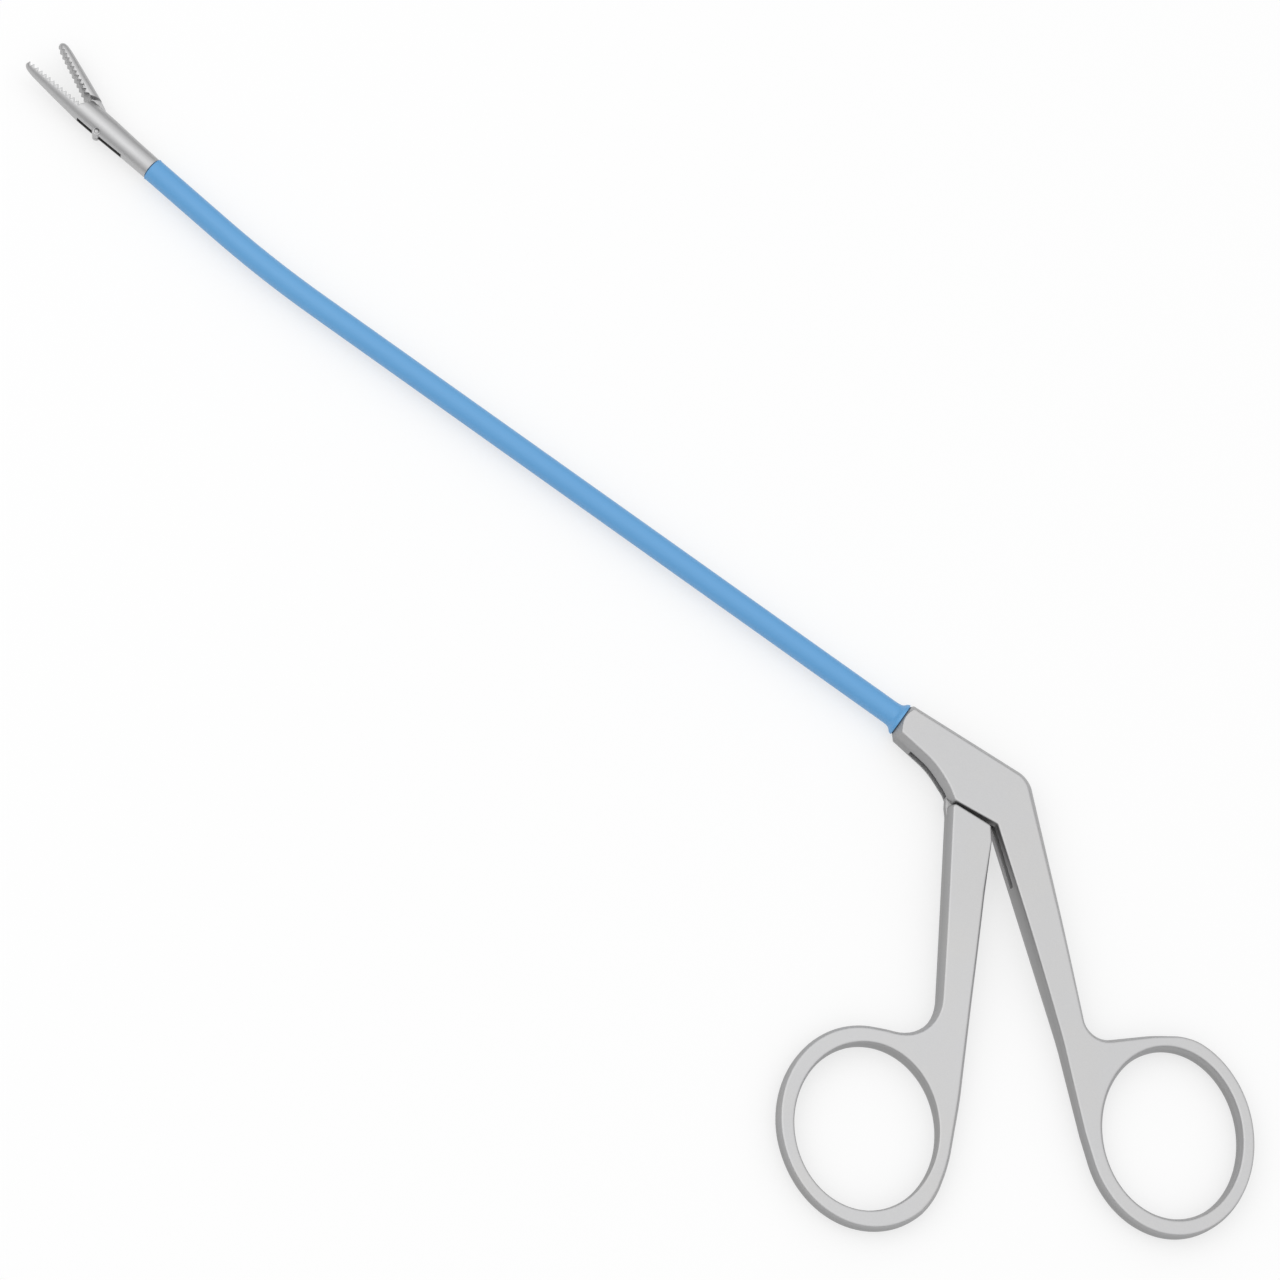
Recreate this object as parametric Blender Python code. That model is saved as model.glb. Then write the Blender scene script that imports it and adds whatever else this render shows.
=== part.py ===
"""Endoscopic grasping forceps, modelled as the separate pieces it is assembled from.

The instrument lies flat: +Z is up, z = 0 is the lower face of the handles, +X runs along the
straight shaft towards the handles and the finger rings hang towards -Y.  The origin is under
the drive pin, on the shaft axis.  Dimensions below are in millimetres; meshes are in metres.

Squeezing the rings turns the front handle about its pivot pin, its tongue pushes the drive rod
forwards through the shaft, and the fork on the rod's tip swings the upper jaw shut.
"""
import math

import bmesh
import bpy
from mathutils import Matrix, Vector

MM = 0.001

# Handle plates
PLATE = 5.5                     # thickness of both handles
MID = PLATE / 2                 # height of the shaft axis
EDGE = 0.22                     # rounding of the handle edges
NOSE_X = -18.4                  # front end of the handle body
NOSE_HIGH = 1.72                # the nose's edges above and below the shaft axis
NOSE_LOW = 2.31
NOSE_ROUND = 2.45               # radius that the nose is turned to at its end
NOSE_CONE = 1.25                # length of the turned cone
WAIST = 0.95                    # the sides stand out furthest this far above and below the mid-plane
RING_THICK = 3.2                # the handles thin from above towards the rings
TAPER = (16.0, 40.0)            # where that begins and ends, measured towards each ring

# Clearances, each side
RUN = 0.06                      # a pin in the piece that turns on it
HELD = 0.03                     # a pin in the piece that holds it
SWAY = 0.09                     # a pin whose arc the straight-moving rod can't follow
SEAT = 0.08                     # tubes and bushes in their seats
CRIMP = 0.05                    # the rod in its crimped ends
GLIDE = 0.12                    # the rod in what guides it
BUTT = 0.06                     # pieces that meet end to end
STEP = 0.15                     # tube ends, bushes and the slit, one behind the other

# Mechanism
JAW_ARM = 1.7                   # jaw pivot to fork pin
JAW_SWING = math.radians(21.2)  # open, as drawn, to shut
STROKE = 2 * JAW_ARM * math.sin(JAW_SWING / 2)
HANDLE_ARM = 2.8                # handle pivot to drive pin
HANDLE_SWING = 2 * math.asin(STROKE / (2 * HANDLE_ARM))
DRIVE = (0.0, 0.0)
PIVOT = (-HANDLE_ARM * math.sin(HANDLE_SWING / 2), -HANDLE_ARM * math.cos(HANDLE_SWING / 2))
PIVOT_PIN = 1.0                 # radius
PIVOT_SUNK = 0.12               # the pin's lower end lies this far in
PIVOT_COVER = 0.85              # metal over the pin's blind hole
DRIVE_PIN = 0.45
EYE = 1.0                       # radius of the eye on the rod's rear end
EYE_THICK = 0.8
EYE_SIDE = 0.1                  # gap beside the eye
EYE_BELOW = 0.2                 # gap round the eye
LOBE = EYE + 0.3                # the tongue's round end, which carries the drive pin
TONGUE = 1.5                    # thickness of the front handle's tongue
TONGUE_SIDE = 0.15              # gap beside it in the body's slot
SLOT = TONGUE + 2 * TONGUE_SIDE
SLOT_OVER = 0.9                 # gap over the lobe
SLOT_X = -3.6                   # the slot is the path of a disc cutter
SLOT_RADIUS = 13.2
SLOT_CENTRE = (SLOT_X, LOBE + SLOT_OVER - SLOT_RADIUS)

# Handle outlines at their upper face, anticlockwise: x, y and corner radius
BODY_UNDER = [(-8.54, -3.59, 13.5), (-4.95, -6.4, 0.35), (2.3, -5.6, 0.5)]
REAR_SHANK_FRONT = [(28.5, -26.8, 60.0), (38.6, -35.98, 0)]
REAR_SHANK_BACK = [(40.6, -16.5, 0), (31.8, -25.15, 3.9), (2.06, 2.95, 3.2)]
NOSE_CORNERS = (0.3, 0.3)
FRONT_SHANK_FRONT = [(-2.0, -6.78, 0), (-4.75, -7.1, 0.6), (13.92, -38.4, 5.85), (6.1, -41.05, 0)]
FRONT_SHANK_BACK = [(20.7, -43.2, 0), (13.9, -29.95, 0), (6.4, -15.2, 30.0), (3.05, -8.3, 0.7),
                    (1.6, -6.35, 0.5), (0, -6.54, 0)]
TONGUE_BACK = [(-4.4, -9.3, 0), (1.6, -9.2, 0), (1.55, -5.0, 2.0)]
TONGUE_FRONT = [(-2.1, -3.2, 1.5), (-6.5, -5.75, 0.5)]

# How far the sides stand out at the waist, marked round each outline: x, y and the amount
REAR_BULGE = [(-18.4, -2.3, 0.72), (-13.0, -3.0, 0.72), (-8.5, -4.2, 0.72), (-5.9, -5.7, 0.6), (-4.9, -6.5, 0.2),
              (-1.3, -6.0, 0.1), (2.3, -5.6, 0.0), (15.0, -16.0, 0.0), (28.5, -26.8, 0.3), (40.0, -38.0, 0.5),
              (63.0, -28.0, 0.5), (49.0, -14.0, 0.5), (49.0, -43.0, 0.5), (31.8, -25.15, 0.6), (17.0, -11.0, 0.85),
              (2.1, 3.0, 0.9), (-8.0, 2.3, 0.95), (-18.4, 1.7, 0.9)]
FRONT_BULGE = [(-4.9, -7.1, 0.1), (-4.0, -8.6, 0.75), (4.0, -22.0, 0.7), (12.0, -36.0, 0.6), (-1.0, -55.0, 0.5),
               (12.0, -69.0, 0.5), (25.0, -55.0, 0.5), (17.0, -38.0, 0.5), (13.9, -30.0, 0.5), (6.4, -15.2, 0.45),
               (3.05, -8.3, 0.0), (1.6, -6.35, 0.0), (-1.6, -6.8, 0.05)]
HOLE_BULGE = 0.3

# Finger rings: centre, half axes, turn of the long axis in degrees
FINGER_OUTER = ((11.85, -54.5), (14.46, 12.57), -61.3)
FINGER_HOLE = ((11.5, -54.65), (12.8, 10.9), -50.0)
THUMB_OUTER = ((49.25, -28.45), (14.91, 12.28), -56.2)
THUMB_HOLE = ((49.2, -28.4), (13.45, 10.95), -52.0)

# Shaft: straight, then bent gently towards the moving jaw, then straight again
BEND_START = -127.2
BEND_RADIUS = 180.0
BEND = math.radians(6.0)
TIP_RUN = 14.2
ROD = 0.45                      # radii from here on
TUBE = 1.22
TUBE_INSIDE = 0.88
LINER = (TUBE_INSIDE - SEAT, ROD + GLIDE)
BUSH = (TUBE, ROD + GLIDE)
BORE = TUBE + SEAT              # the tube's seat in the body and in the jaw sleeve
INSULATION = (1.57, TUBE + SEAT)
MOUTH = (NOSE_ROUND - 0.05, NOSE_ROUND - 0.05)
TUBE_REAR = NOSE_X + 3.2        # rear end of the tube in the body
NOSE_BUSH = 2.7                 # lengths of the two bushes
TIP_BUSH = 1.55
BARREL = ROD + 0.35             # crimped barrel of the eye
BARREL_FRONT = 6.2
BARREL_REAR = 2.05
ROD_REAR = 3.1
BORE_END = SLOT_X - math.sqrt(SLOT_RADIUS ** 2 - (ROD + GLIDE - SLOT_CENTRE[1]) ** 2) + 0.1

# Tip, measured forwards from the rear end of the jaw sleeve
SLEEVE_FRONT = 13.9
JAW_END = 25.9
HEAD = 2.0                      # largest radius, at the sleeve's front
JAW_PIVOT = (10.0, -JAW_ARM * math.cos(JAW_SWING / 2))
JAW_PIN = 0.35
FORK_PIN = 0.27
BOSS = 0.72
BOSS_HALF = 1.22                # half width over the bosses
TANG = 0.9
TANG_RIM = 0.58                 # metal round the fork pin's hole
SLIT = TANG + 0.2
FORK_SLOT = TANG + 0.12
FORK_WIDE = 1.9
FORK_HIGH = 2 * (ROD + CRIMP + 0.09)
FORK_SHANK = 2.2                # fork pin back to the end of the rod's socket
FORK_DEEP = 1.3                 # fork pin back to the root of the slot
TUBE_TIP = 3.0                  # how far the tube reaches into the sleeve
BUSH_REAR = TUBE_TIP + STEP
BUSH_FRONT = BUSH_REAR + TIP_BUSH
FORK_REAR = BUSH_FRONT + STEP + STROKE
SLIT_REAR = BUSH_FRONT + STEP
UPPER_SLIT_REAR = JAW_PIVOT[0] - 1.0
UPPER_SLIT_FRONT = SLEEVE_FRONT + 1.7
UPPER_SLIT_FLOOR = -0.3
TEETH = 13
TOOTH = 0.58
TOOTH_TIP = -0.2
TOOTH_START = SLEEVE_FRONT + 1.24
TOOTH_END = JAW_END - 0.776
PITCH = (TOOTH_END - TOOTH_START) / (TEETH - 1)
BITE_REAR = 1.0                 # height of the sleeve's upper lip behind the bite
BITE_STEP = (0.7, -0.35)        # the step between the lip and the first tooth
BITE_GAP = 0.09
HEEL = SLEEVE_FRONT + 0.55      # rear end of the moving jaw's back
HEEL_HIGH = 1.35
HEEL_STEP = 1.05
UPPER_FLAT = 0.7                # the upper jaw's back is this much flatter than the lower one's


def clear_scene():
    """Take every object out of the scene."""
    for item in list(bpy.data.objects):
        bpy.data.objects.remove(item, do_unlink=True)


def material(name, colour, metallic, roughness):
    """Return a Principled BSDF material."""
    made = bpy.data.materials.new(name)
    made.use_nodes = True
    shader = made.node_tree.nodes["Principled BSDF"]
    shader.inputs["Base Color"].default_value = (*colour, 1.0)
    shader.inputs["Metallic"].default_value = metallic
    shader.inputs["Roughness"].default_value = roughness
    return made


def collection(name):
    """Return a new collection linked to the scene."""
    made = bpy.data.collections.new(name)
    bpy.context.scene.collection.children.link(made)
    return made


def mesh_object(name, group, build):
    """Make an object whose mesh is filled by build(bmesh), working in millimetres."""
    work = bmesh.new()
    build(work)
    bmesh.ops.remove_doubles(work, verts=work.verts, dist=1e-5)
    bmesh.ops.recalc_face_normals(work, faces=work.faces)
    bmesh.ops.scale(work, verts=work.verts, vec=(MM, MM, MM))
    data = bpy.data.meshes.new(name)
    work.to_mesh(data)
    work.free()
    made = bpy.data.objects.new(name, data)
    group.objects.link(made)
    return made


def rounded(corners, step=math.radians(15)):
    """Return a closed outline; each corner is (x, y, radius), radius 0 keeps it sharp."""
    points = []
    count = len(corners)
    for i, (x, y, radius) in enumerate(corners):
        here = Vector((x, y))
        if radius <= 0:
            points.append(here)
            continue
        before = (Vector(corners[i - 1][:2]) - here).normalized()
        after = (Vector(corners[(i + 1) % count][:2]) - here).normalized()
        half = before.angle(after) / 2
        reach = radius / math.tan(half)
        centre = here + (before + after).normalized() * (radius / math.sin(half))
        start = here + before * reach - centre
        end = here + after * reach - centre
        turn = start.angle_signed(end)
        pieces = max(1, round(abs(turn) / step))
        for k in range(pieces + 1):
            spoke = start.copy()
            spoke.rotate(Matrix.Rotation(-turn * k / pieces, 2))
            points.append(centre + spoke)
    return points


def ellipse(ring, first=0.0, last=360.0, pieces=56, closed=True):
    """Return points on an ellipse between two parameter angles in degrees."""
    (cx, cy), (a, b), turn = ring
    c, s = math.cos(math.radians(turn)), math.sin(math.radians(turn))
    points = []
    for k in range(pieces if closed else pieces + 1):
        t = math.radians(first + (last - first) * k / pieces)
        u, v = a * math.cos(t), b * math.sin(t)
        points.append(Vector((cx + u * c - v * s, cy + u * s + v * c)))
    return points


def plate(name, group, outlines, low, high, rounding=0.0):
    """Extrude closed outlines (the first is outer, the rest are holes) between two heights."""
    curve = bpy.data.curves.new(name, "CURVE")
    curve.dimensions = "2D"
    curve.fill_mode = "BOTH"
    curve.extrude = ((high - low) / 2 - rounding) * MM
    curve.bevel_depth = rounding * MM
    curve.bevel_resolution = 1
    curve.offset = -rounding * MM
    for outline in outlines:
        spline = curve.splines.new("POLY")
        spline.points.add(len(outline) - 1)
        for point, place in zip(spline.points, outline):
            point.co = (place.x * MM, place.y * MM, 0.0, 1.0)
        spline.use_cyclic_u = True
    holder = bpy.data.objects.new(name + "_curve", curve)
    group.objects.link(holder)
    holder.location.z = (low + high) / 2 * MM
    bpy.context.view_layer.update()
    data = bpy.data.meshes.new_from_object(holder.evaluated_get(bpy.context.evaluated_depsgraph_get()))
    data.transform(holder.matrix_world)
    bpy.data.objects.remove(holder, do_unlink=True)
    work = bmesh.new()
    work.from_mesh(data)
    bmesh.ops.remove_doubles(work, verts=work.verts, dist=2e-6)
    bmesh.ops.recalc_face_normals(work, faces=work.faces)
    work.to_mesh(data)
    work.free()
    made = bpy.data.objects.new(name, data)
    group.objects.link(made)
    return made


def bulge_at(marks, x, y):
    """Return how far the side stands out at a point, from the marks nearest to it."""
    weights = [1 / ((x - a) ** 2 + (y - b) ** 2 + 0.01) ** 2 for a, b, _ in marks]
    return sum(weight * mark[2] for weight, mark in zip(weights, marks)) / sum(weights)


def outward(points):
    """Return the offset direction at each point of an anticlockwise outline, mitred at corners."""
    made = []
    for before, here, after in zip(points[-1:] + points[:-1], points, points[1:] + points[:1]):
        first, second = (here - before).normalized(), (after - here).normalized()
        sides = Vector((first.y, -first.x)), Vector((second.y, -second.x))
        made.append((sides[0] + sides[1]) / max(0.5, 1 + sides[0].dot(sides[1])))
    return made


def thinned(x, y, ring):
    """Return the handle's share of its full thickness at a point on the way to a ring."""
    way = Vector(ring[0]).normalized().dot(Vector((x, y)))
    share = min(1.0, max(0.0, (way - TAPER[0]) / (TAPER[1] - TAPER[0])))
    return 1 - (1 - RING_THICK / PLATE) * share * share * (3 - 2 * share)


def handle_plate(name, group, outline, hole, marks, ring):
    """Build a handle whose sides slope out from both faces to a waist, thinned towards its ring."""
    slope = EDGE / (MID - WAIST)
    levels = [(0.0, 0.0, EDGE), (EDGE, slope, 0.0), (MID - WAIST, 1.0, 0.0), (MID + WAIST, 1.0, 0.0),
              (PLATE - EDGE, slope, 0.0), (PLATE, 0.0, EDGE)]

    def build(work):
        rims = []
        for points, side in ((outline, 1), (hole, -1)):
            amounts = [bulge_at(marks, p.x, p.y) if side > 0 else HOLE_BULGE for p in points]
            rings = []
            for height, share, inset in levels:
                rings.append([work.verts.new((*(p + n * side * (amount * share - inset)), height))
                              for p, n, amount in zip(points, outward(points), amounts)])
            for low, high in zip(rings, rings[1:]):
                for k in range(len(points)):
                    n = (k + 1) % len(points)
                    work.faces.new((low[k], low[n], high[n], high[k]))
            rims.append((rings[0], rings[-1]))
        for face in (0, 1):
            edges = []
            for rim in rims:
                loop = rim[face]
                edges += [work.edges.get((a, b)) for a, b in zip(loop, loop[1:] + loop[:1])]
            bmesh.ops.triangle_fill(work, edges=edges, use_beauty=True, normal=(0, 0, 1))
        way = Vector((*ring[0], 0)).normalized()
        for step in range(7):
            place = TAPER[0] + (TAPER[1] - TAPER[0]) * step / 6
            geom = work.verts[:] + work.edges[:] + work.faces[:]
            bmesh.ops.bisect_plane(work, geom=geom, plane_co=way * place, plane_no=way, dist=1e-4)
        for vert in work.verts:
            vert.co.z *= thinned(vert.co.x, vert.co.y, ring)
        bmesh.ops.triangulate(work, faces=work.faces[:])

    return mesh_object(name, group, build)


def cylinder(name, group, radius, start, end, segments=24, chamfer=0.0):
    """Make a round bar between two points, with chamfered ends when asked."""
    a, b = Vector(start), Vector(end)
    length = (b - a).length
    profile = [(0.0, radius - chamfer), (chamfer, radius), (length - chamfer, radius), (length, radius - chamfer)]
    if chamfer <= 0:
        profile = [(0.0, radius), (length, radius)]
    turn = Vector((1, 0, 0)).rotation_difference(b - a).to_matrix().to_4x4()

    def build(work):
        lathe(work, profile, segments)
        bmesh.ops.transform(work, matrix=Matrix.Translation(a) @ turn, verts=work.verts)

    return mesh_object(name, group, build)


def lathe(work, profile, segments=32):
    """Turn an open (x, radius) profile about the X axis and close its ends."""
    rings = []
    for x, radius in profile:
        ring = []
        for k in range(segments):
            angle = 2 * math.pi * k / segments
            ring.append(work.verts.new((x, radius * math.cos(angle), radius * math.sin(angle))))
        rings.append(ring)
    for low, high in zip(rings, rings[1:]):
        for k in range(segments):
            n = (k + 1) % segments
            work.faces.new((low[k], low[n], high[n], high[k]))
    work.faces.new(rings[0])
    work.faces.new(rings[-1])


def bend_end():
    """Return where the bend ends and the direction ahead there."""
    place = Vector((BEND_START - BEND_RADIUS * math.sin(BEND), BEND_RADIUS * (1 - math.cos(BEND)), MID))
    return place, Vector((-math.cos(BEND), math.sin(BEND), 0))


def tip_corner():
    """Return the origin of the tip's own frame, where the insulation ends."""
    place, ahead = bend_end()
    return place + ahead * TIP_RUN


def shaft_path(start, forward):
    """Return (point, direction) stations from x = start to a distance past the tip's origin."""
    stations = [(Vector((start, 0, MID)), Vector((-1, 0, 0)))]
    pieces = 12
    for k in range(pieces + 1):
        angle = BEND * k / pieces
        stations.append((
            Vector((BEND_START - BEND_RADIUS * math.sin(angle), BEND_RADIUS * (1 - math.cos(angle)), MID)),
            Vector((-math.cos(angle), math.sin(angle), 0))))
    ahead = bend_end()[1]
    stations.append((tip_corner() + ahead * forward, ahead))
    return stations


def sweep(name, group, stations, outer, inner=0.0, segments=24):
    """Sweep a round bar, or a tube when inner is given, along the stations.

    outer may be one radius or one for each station, and a pair is a half width and a half height.
    """
    radii = outer if isinstance(outer, list) else [outer] * len(stations)

    def rings(work, sizes):
        made = []
        for (place, ahead), radius in zip(stations, sizes):
            wide, high = radius if isinstance(radius, tuple) else (radius, radius)
            side = Vector((0, 0, 1)).cross(ahead).normalized()
            ring = []
            for k in range(segments):
                angle = 2 * math.pi * k / segments
                spoke = side * math.cos(angle) * wide + Vector((0, 0, 1)) * math.sin(angle) * high
                ring.append(work.verts.new(place + spoke))
            made.append(ring)
        for low, high in zip(made, made[1:]):
            for k in range(segments):
                n = (k + 1) % segments
                work.faces.new((low[k], low[n], high[n], high[k]))
        return made

    def build(work):
        skin = rings(work, radii)
        if inner <= 0:
            work.faces.new(skin[0])
            work.faces.new(skin[-1])
            return
        bore = rings(work, [inner] * len(stations))
        for end in (0, -1):
            for k in range(segments):
                n = (k + 1) % segments
                work.faces.new((skin[end][k], skin[end][n], bore[end][n], bore[end][k]))

    return mesh_object(name, group, build)


def combine(target, other, operation):
    """Apply a Boolean of another object to the target and drop the other object."""
    tool = target.modifiers.new("cut", "BOOLEAN")
    tool.operation = operation
    tool.solver = "EXACT"
    tool.object = other
    bpy.context.view_layer.update()
    data = bpy.data.meshes.new_from_object(target.evaluated_get(bpy.context.evaluated_depsgraph_get()))
    target.modifiers.clear()
    target.data = data
    bpy.data.objects.remove(other, do_unlink=True)


def pivot_at(item, place):
    """Move an object's origin to a point given in millimetres without moving its mesh."""
    offset = Vector(place) * MM
    item.data.transform(Matrix.Translation(-offset))
    item.location = offset


def to_tip_frame(item):
    """Carry a mesh drawn along the tip's own axis to its place at the end of the shaft."""
    item.data.transform(Matrix.Translation(tip_corner() * MM) @ Matrix.Rotation(-BEND, 4, "Z"))


def tip_point(ahead, up):
    """Return the part-frame position, in millimetres, of a point of the tip's own frame."""
    spot = Matrix.Rotation(-BEND, 4, "Z") @ Vector((-ahead, up, 0))
    return tip_corner() + spot


def rear_handle(parts, cutters):
    """Body, rear shank and thumb ring in one piece, slotted for the tongue."""
    low, high = NOSE_CORNERS
    outline = rounded([(NOSE_X, 0, 0), (NOSE_X, -NOSE_LOW, low)] + BODY_UNDER + REAR_SHANK_FRONT, math.radians(9))
    outline += ellipse(THUMB_OUTER, -70.0, 165.0, 44, closed=False)
    outline += rounded(REAR_SHANK_BACK + [(NOSE_X, NOSE_HIGH, high), (NOSE_X, 0, 0)], math.radians(9))[:-1]
    body = handle_plate("rear_handle", parts, outline, ellipse(THUMB_HOLE), REAR_BULGE, THUMB_OUTER)
    past = NOSE_X + NOSE_CONE
    turned = [(NOSE_X, NOSE_ROUND), (past, NOSE_ROUND + NOSE_CONE), (past + 0.05, 20 * NOSE_ROUND), (9 * PLATE, 40 * NOSE_ROUND),
              (20 * PLATE, 40 * NOSE_ROUND)]
    cone = mesh_object("nose_cone", cutters, lambda work: lathe(work, turned, 48))
    cone.data.transform(Matrix.Translation((0, 0, MID * MM)))
    combine(body, cone, "INTERSECT")
    disc = cylinder("slot_cutter", cutters, SLOT_RADIUS, (*SLOT_CENTRE, MID - SLOT / 2),
                    (*SLOT_CENTRE, MID + SLOT / 2), 72)
    combine(body, disc, "DIFFERENCE")
    bore = cylinder("nose_cutter", cutters, BORE, (NOSE_X - 1, 0, MID), (BORE_END, 0, MID), 24)
    combine(body, bore, "DIFFERENCE")
    hole = cylinder("pivot_cutter", cutters, PIVOT_PIN + HELD, (*PIVOT, -1), (*PIVOT, PLATE - PIVOT_COVER), 24)
    combine(body, hole, "DIFFERENCE")
    return body


def front_handle(parts, cutters):
    """Moving handle: finger ring, shank and the thin tongue with its drive lobe."""
    outline = rounded(FRONT_SHANK_FRONT)
    outline += ellipse(FINGER_OUTER, 163.6, 428.0, 50, closed=False)
    outline += rounded(FRONT_SHANK_BACK)
    handle = handle_plate("front_handle", parts, outline, ellipse(FINGER_HOLE), FRONT_BULGE, FINGER_OUTER)
    lobe = [(LOBE, LOBE, LOBE - 0.001), (-LOBE, LOBE, LOBE - 0.001)]
    tongue_outline = rounded(TONGUE_BACK + lobe + TONGUE_FRONT)
    tongue = plate("tongue", parts, [tongue_outline], MID - TONGUE / 2, MID + TONGUE / 2)
    combine(handle, tongue, "UNION")
    hole = cylinder("tongue_cutter", cutters, PIVOT_PIN + RUN, (*PIVOT, -1), (*PIVOT, PLATE + 1), 24)
    combine(handle, hole, "DIFFERENCE")
    below = -EYE - EYE_BELOW
    right = EYE + EYE_BELOW
    gap = rounded([(-3 * EYE, below, 0), (right, below, EYE / 2), (4 * EYE, 3 * EYE, 0), (-3 * EYE, 3 * EYE, 0)])
    half = EYE_THICK / 2 + EYE_SIDE
    eye_slot = plate("eye_slot_cutter", cutters, [gap], MID - half, MID + half)
    combine(handle, eye_slot, "DIFFERENCE")
    drive = cylinder("drive_cutter", cutters, DRIVE_PIN + SWAY, (*DRIVE, -1), (*DRIVE, PLATE + 1), 20)
    combine(handle, drive, "DIFFERENCE")
    pivot_at(handle, (*PIVOT, 0))
    return handle


def rod_end_eye(parts, cutters):
    """Flat eye crimped over the rear end of the rod; the drive pin passes through it."""
    neck = EYE / 2
    rear = BARREL_REAR + 0.35
    outline = rounded([(-rear, -neck, 0), (-0.9 * EYE, -neck, 0.3), (-EYE, -EYE, 0.45), (EYE, -EYE, EYE - 0.01),
                       (EYE, EYE, EYE - 0.01), (-EYE, EYE, 0.45), (-0.9 * EYE, neck, 0.3), (-rear, neck, 0)])
    eye = plate("rod_end_eye", parts, [outline], MID - EYE_THICK / 2, MID + EYE_THICK / 2)
    barrel = cylinder("barrel", parts, BARREL, (-BARREL_FRONT, 0, MID), (-BARREL_REAR, 0, MID), 20, 0.12)
    combine(eye, barrel, "UNION")
    socket = cylinder("socket_cutter", cutters, ROD + CRIMP, (-BARREL_FRONT - 2, 0, MID), (STEP - ROD_REAR, 0, MID), 20)
    combine(eye, socket, "DIFFERENCE")
    pin = cylinder("eye_cutter", cutters, DRIVE_PIN + HELD, (*DRIVE, 0), (*DRIVE, PLATE), 20)
    combine(eye, pin, "DIFFERENCE")
    return eye


def head_profile():
    """Outer (distance ahead, radius) profile shared by the sleeve and both jaws."""
    jaw = JAW_END - SLEEVE_FRONT
    rear = [(0.0, 0.83), (0.014, 0.88), (0.302, 0.91), (0.647, 0.985)]
    front = [(0.017, 1.0), (0.425, 0.86), (0.808, 0.69), (0.908, 0.59), (0.958, 0.44), (0.988, 0.26), (1.0, 0.08)]
    profile = [(SLEEVE_FRONT * along, HEAD * share) for along, share in rear]
    return profile + [(SLEEVE_FRONT + jaw * along, HEAD * share) for along, share in front]


def tooth_line(first, count, tip, root):
    """Return a zigzag of count teeth from the rear to the front, starting at a root."""
    line = []
    for k in range(count):
        middle = first + PITCH * k
        line.append(Vector((middle - PITCH / 2, root)))
        line.append(Vector((middle, tip)))
    line.append(Vector((first + PITCH * (count - 0.5), root)))
    return line


def in_tip_frame(points):
    """Mirror outlines drawn as (ahead, up) onto the tip frame, which looks rearwards."""
    return [Vector((-p[0], p[1])) for p in reversed(points)]


def jaw_sleeve(parts, cutters):
    """Sleeve with slit and pivot bosses, carrying the fixed toothed jaw."""
    x, y = -JAW_PIVOT[0], JAW_PIVOT[1]
    sleeve = mesh_object("jaw_sleeve", parts, lambda work: lathe(work, [(-a, r) for a, r in head_profile()], 36))
    boss = cylinder("boss", parts, BOSS, (x, y, -BOSS_HALF), (x, y, BOSS_HALF), 24, 0.1)
    combine(sleeve, boss, "UNION")
    bore = cylinder("bore_cutter", cutters, BORE, (1, 0, 0), (-SLEEVE_FRONT + 1.0, 0, 0), 28)
    combine(sleeve, bore, "DIFFERENCE")
    root = TOOTH_TIP - TOOTH
    above = [(SLEEVE_FRONT, 2 * HEAD), (SLEEVE_FRONT, BITE_REAR), (SLEEVE_FRONT + BITE_STEP[0], BITE_STEP[1])]
    above += tooth_line(TOOTH_START, TEETH, TOOTH_TIP, root)
    above += [(JAW_END + 1, root), (JAW_END + 1, 2 * HEAD)]
    bite = plate("bite_cutter", cutters, [in_tip_frame(above)], -2 * HEAD, 2 * HEAD)
    combine(sleeve, bite, "DIFFERENCE")
    front = SLEEVE_FRONT - 0.1
    lower = [(SLIT_REAR, -2 * HEAD), (SLIT_REAR, 0), (front, 0), (front, -2 * HEAD)]
    combine(sleeve, plate("slit_cutter", cutters, [in_tip_frame(lower)], -SLIT / 2, SLIT / 2), "DIFFERENCE")
    upper = [(UPPER_SLIT_REAR, UPPER_SLIT_FLOOR), (UPPER_SLIT_REAR, 2 * HEAD), (UPPER_SLIT_FRONT, 2 * HEAD),
             (UPPER_SLIT_FRONT, UPPER_SLIT_FLOOR)]
    combine(sleeve, plate("upper_slit_cutter", cutters, [in_tip_frame(upper)], -SLIT / 2, SLIT / 2), "DIFFERENCE")
    pin = cylinder("jaw_pin_cutter", cutters, JAW_PIN + HELD, (x, y, -2 * BOSS_HALF), (x, y, 2 * BOSS_HALF), 20)
    combine(sleeve, pin, "DIFFERENCE")
    to_tip_frame(sleeve)
    return sleeve


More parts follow.
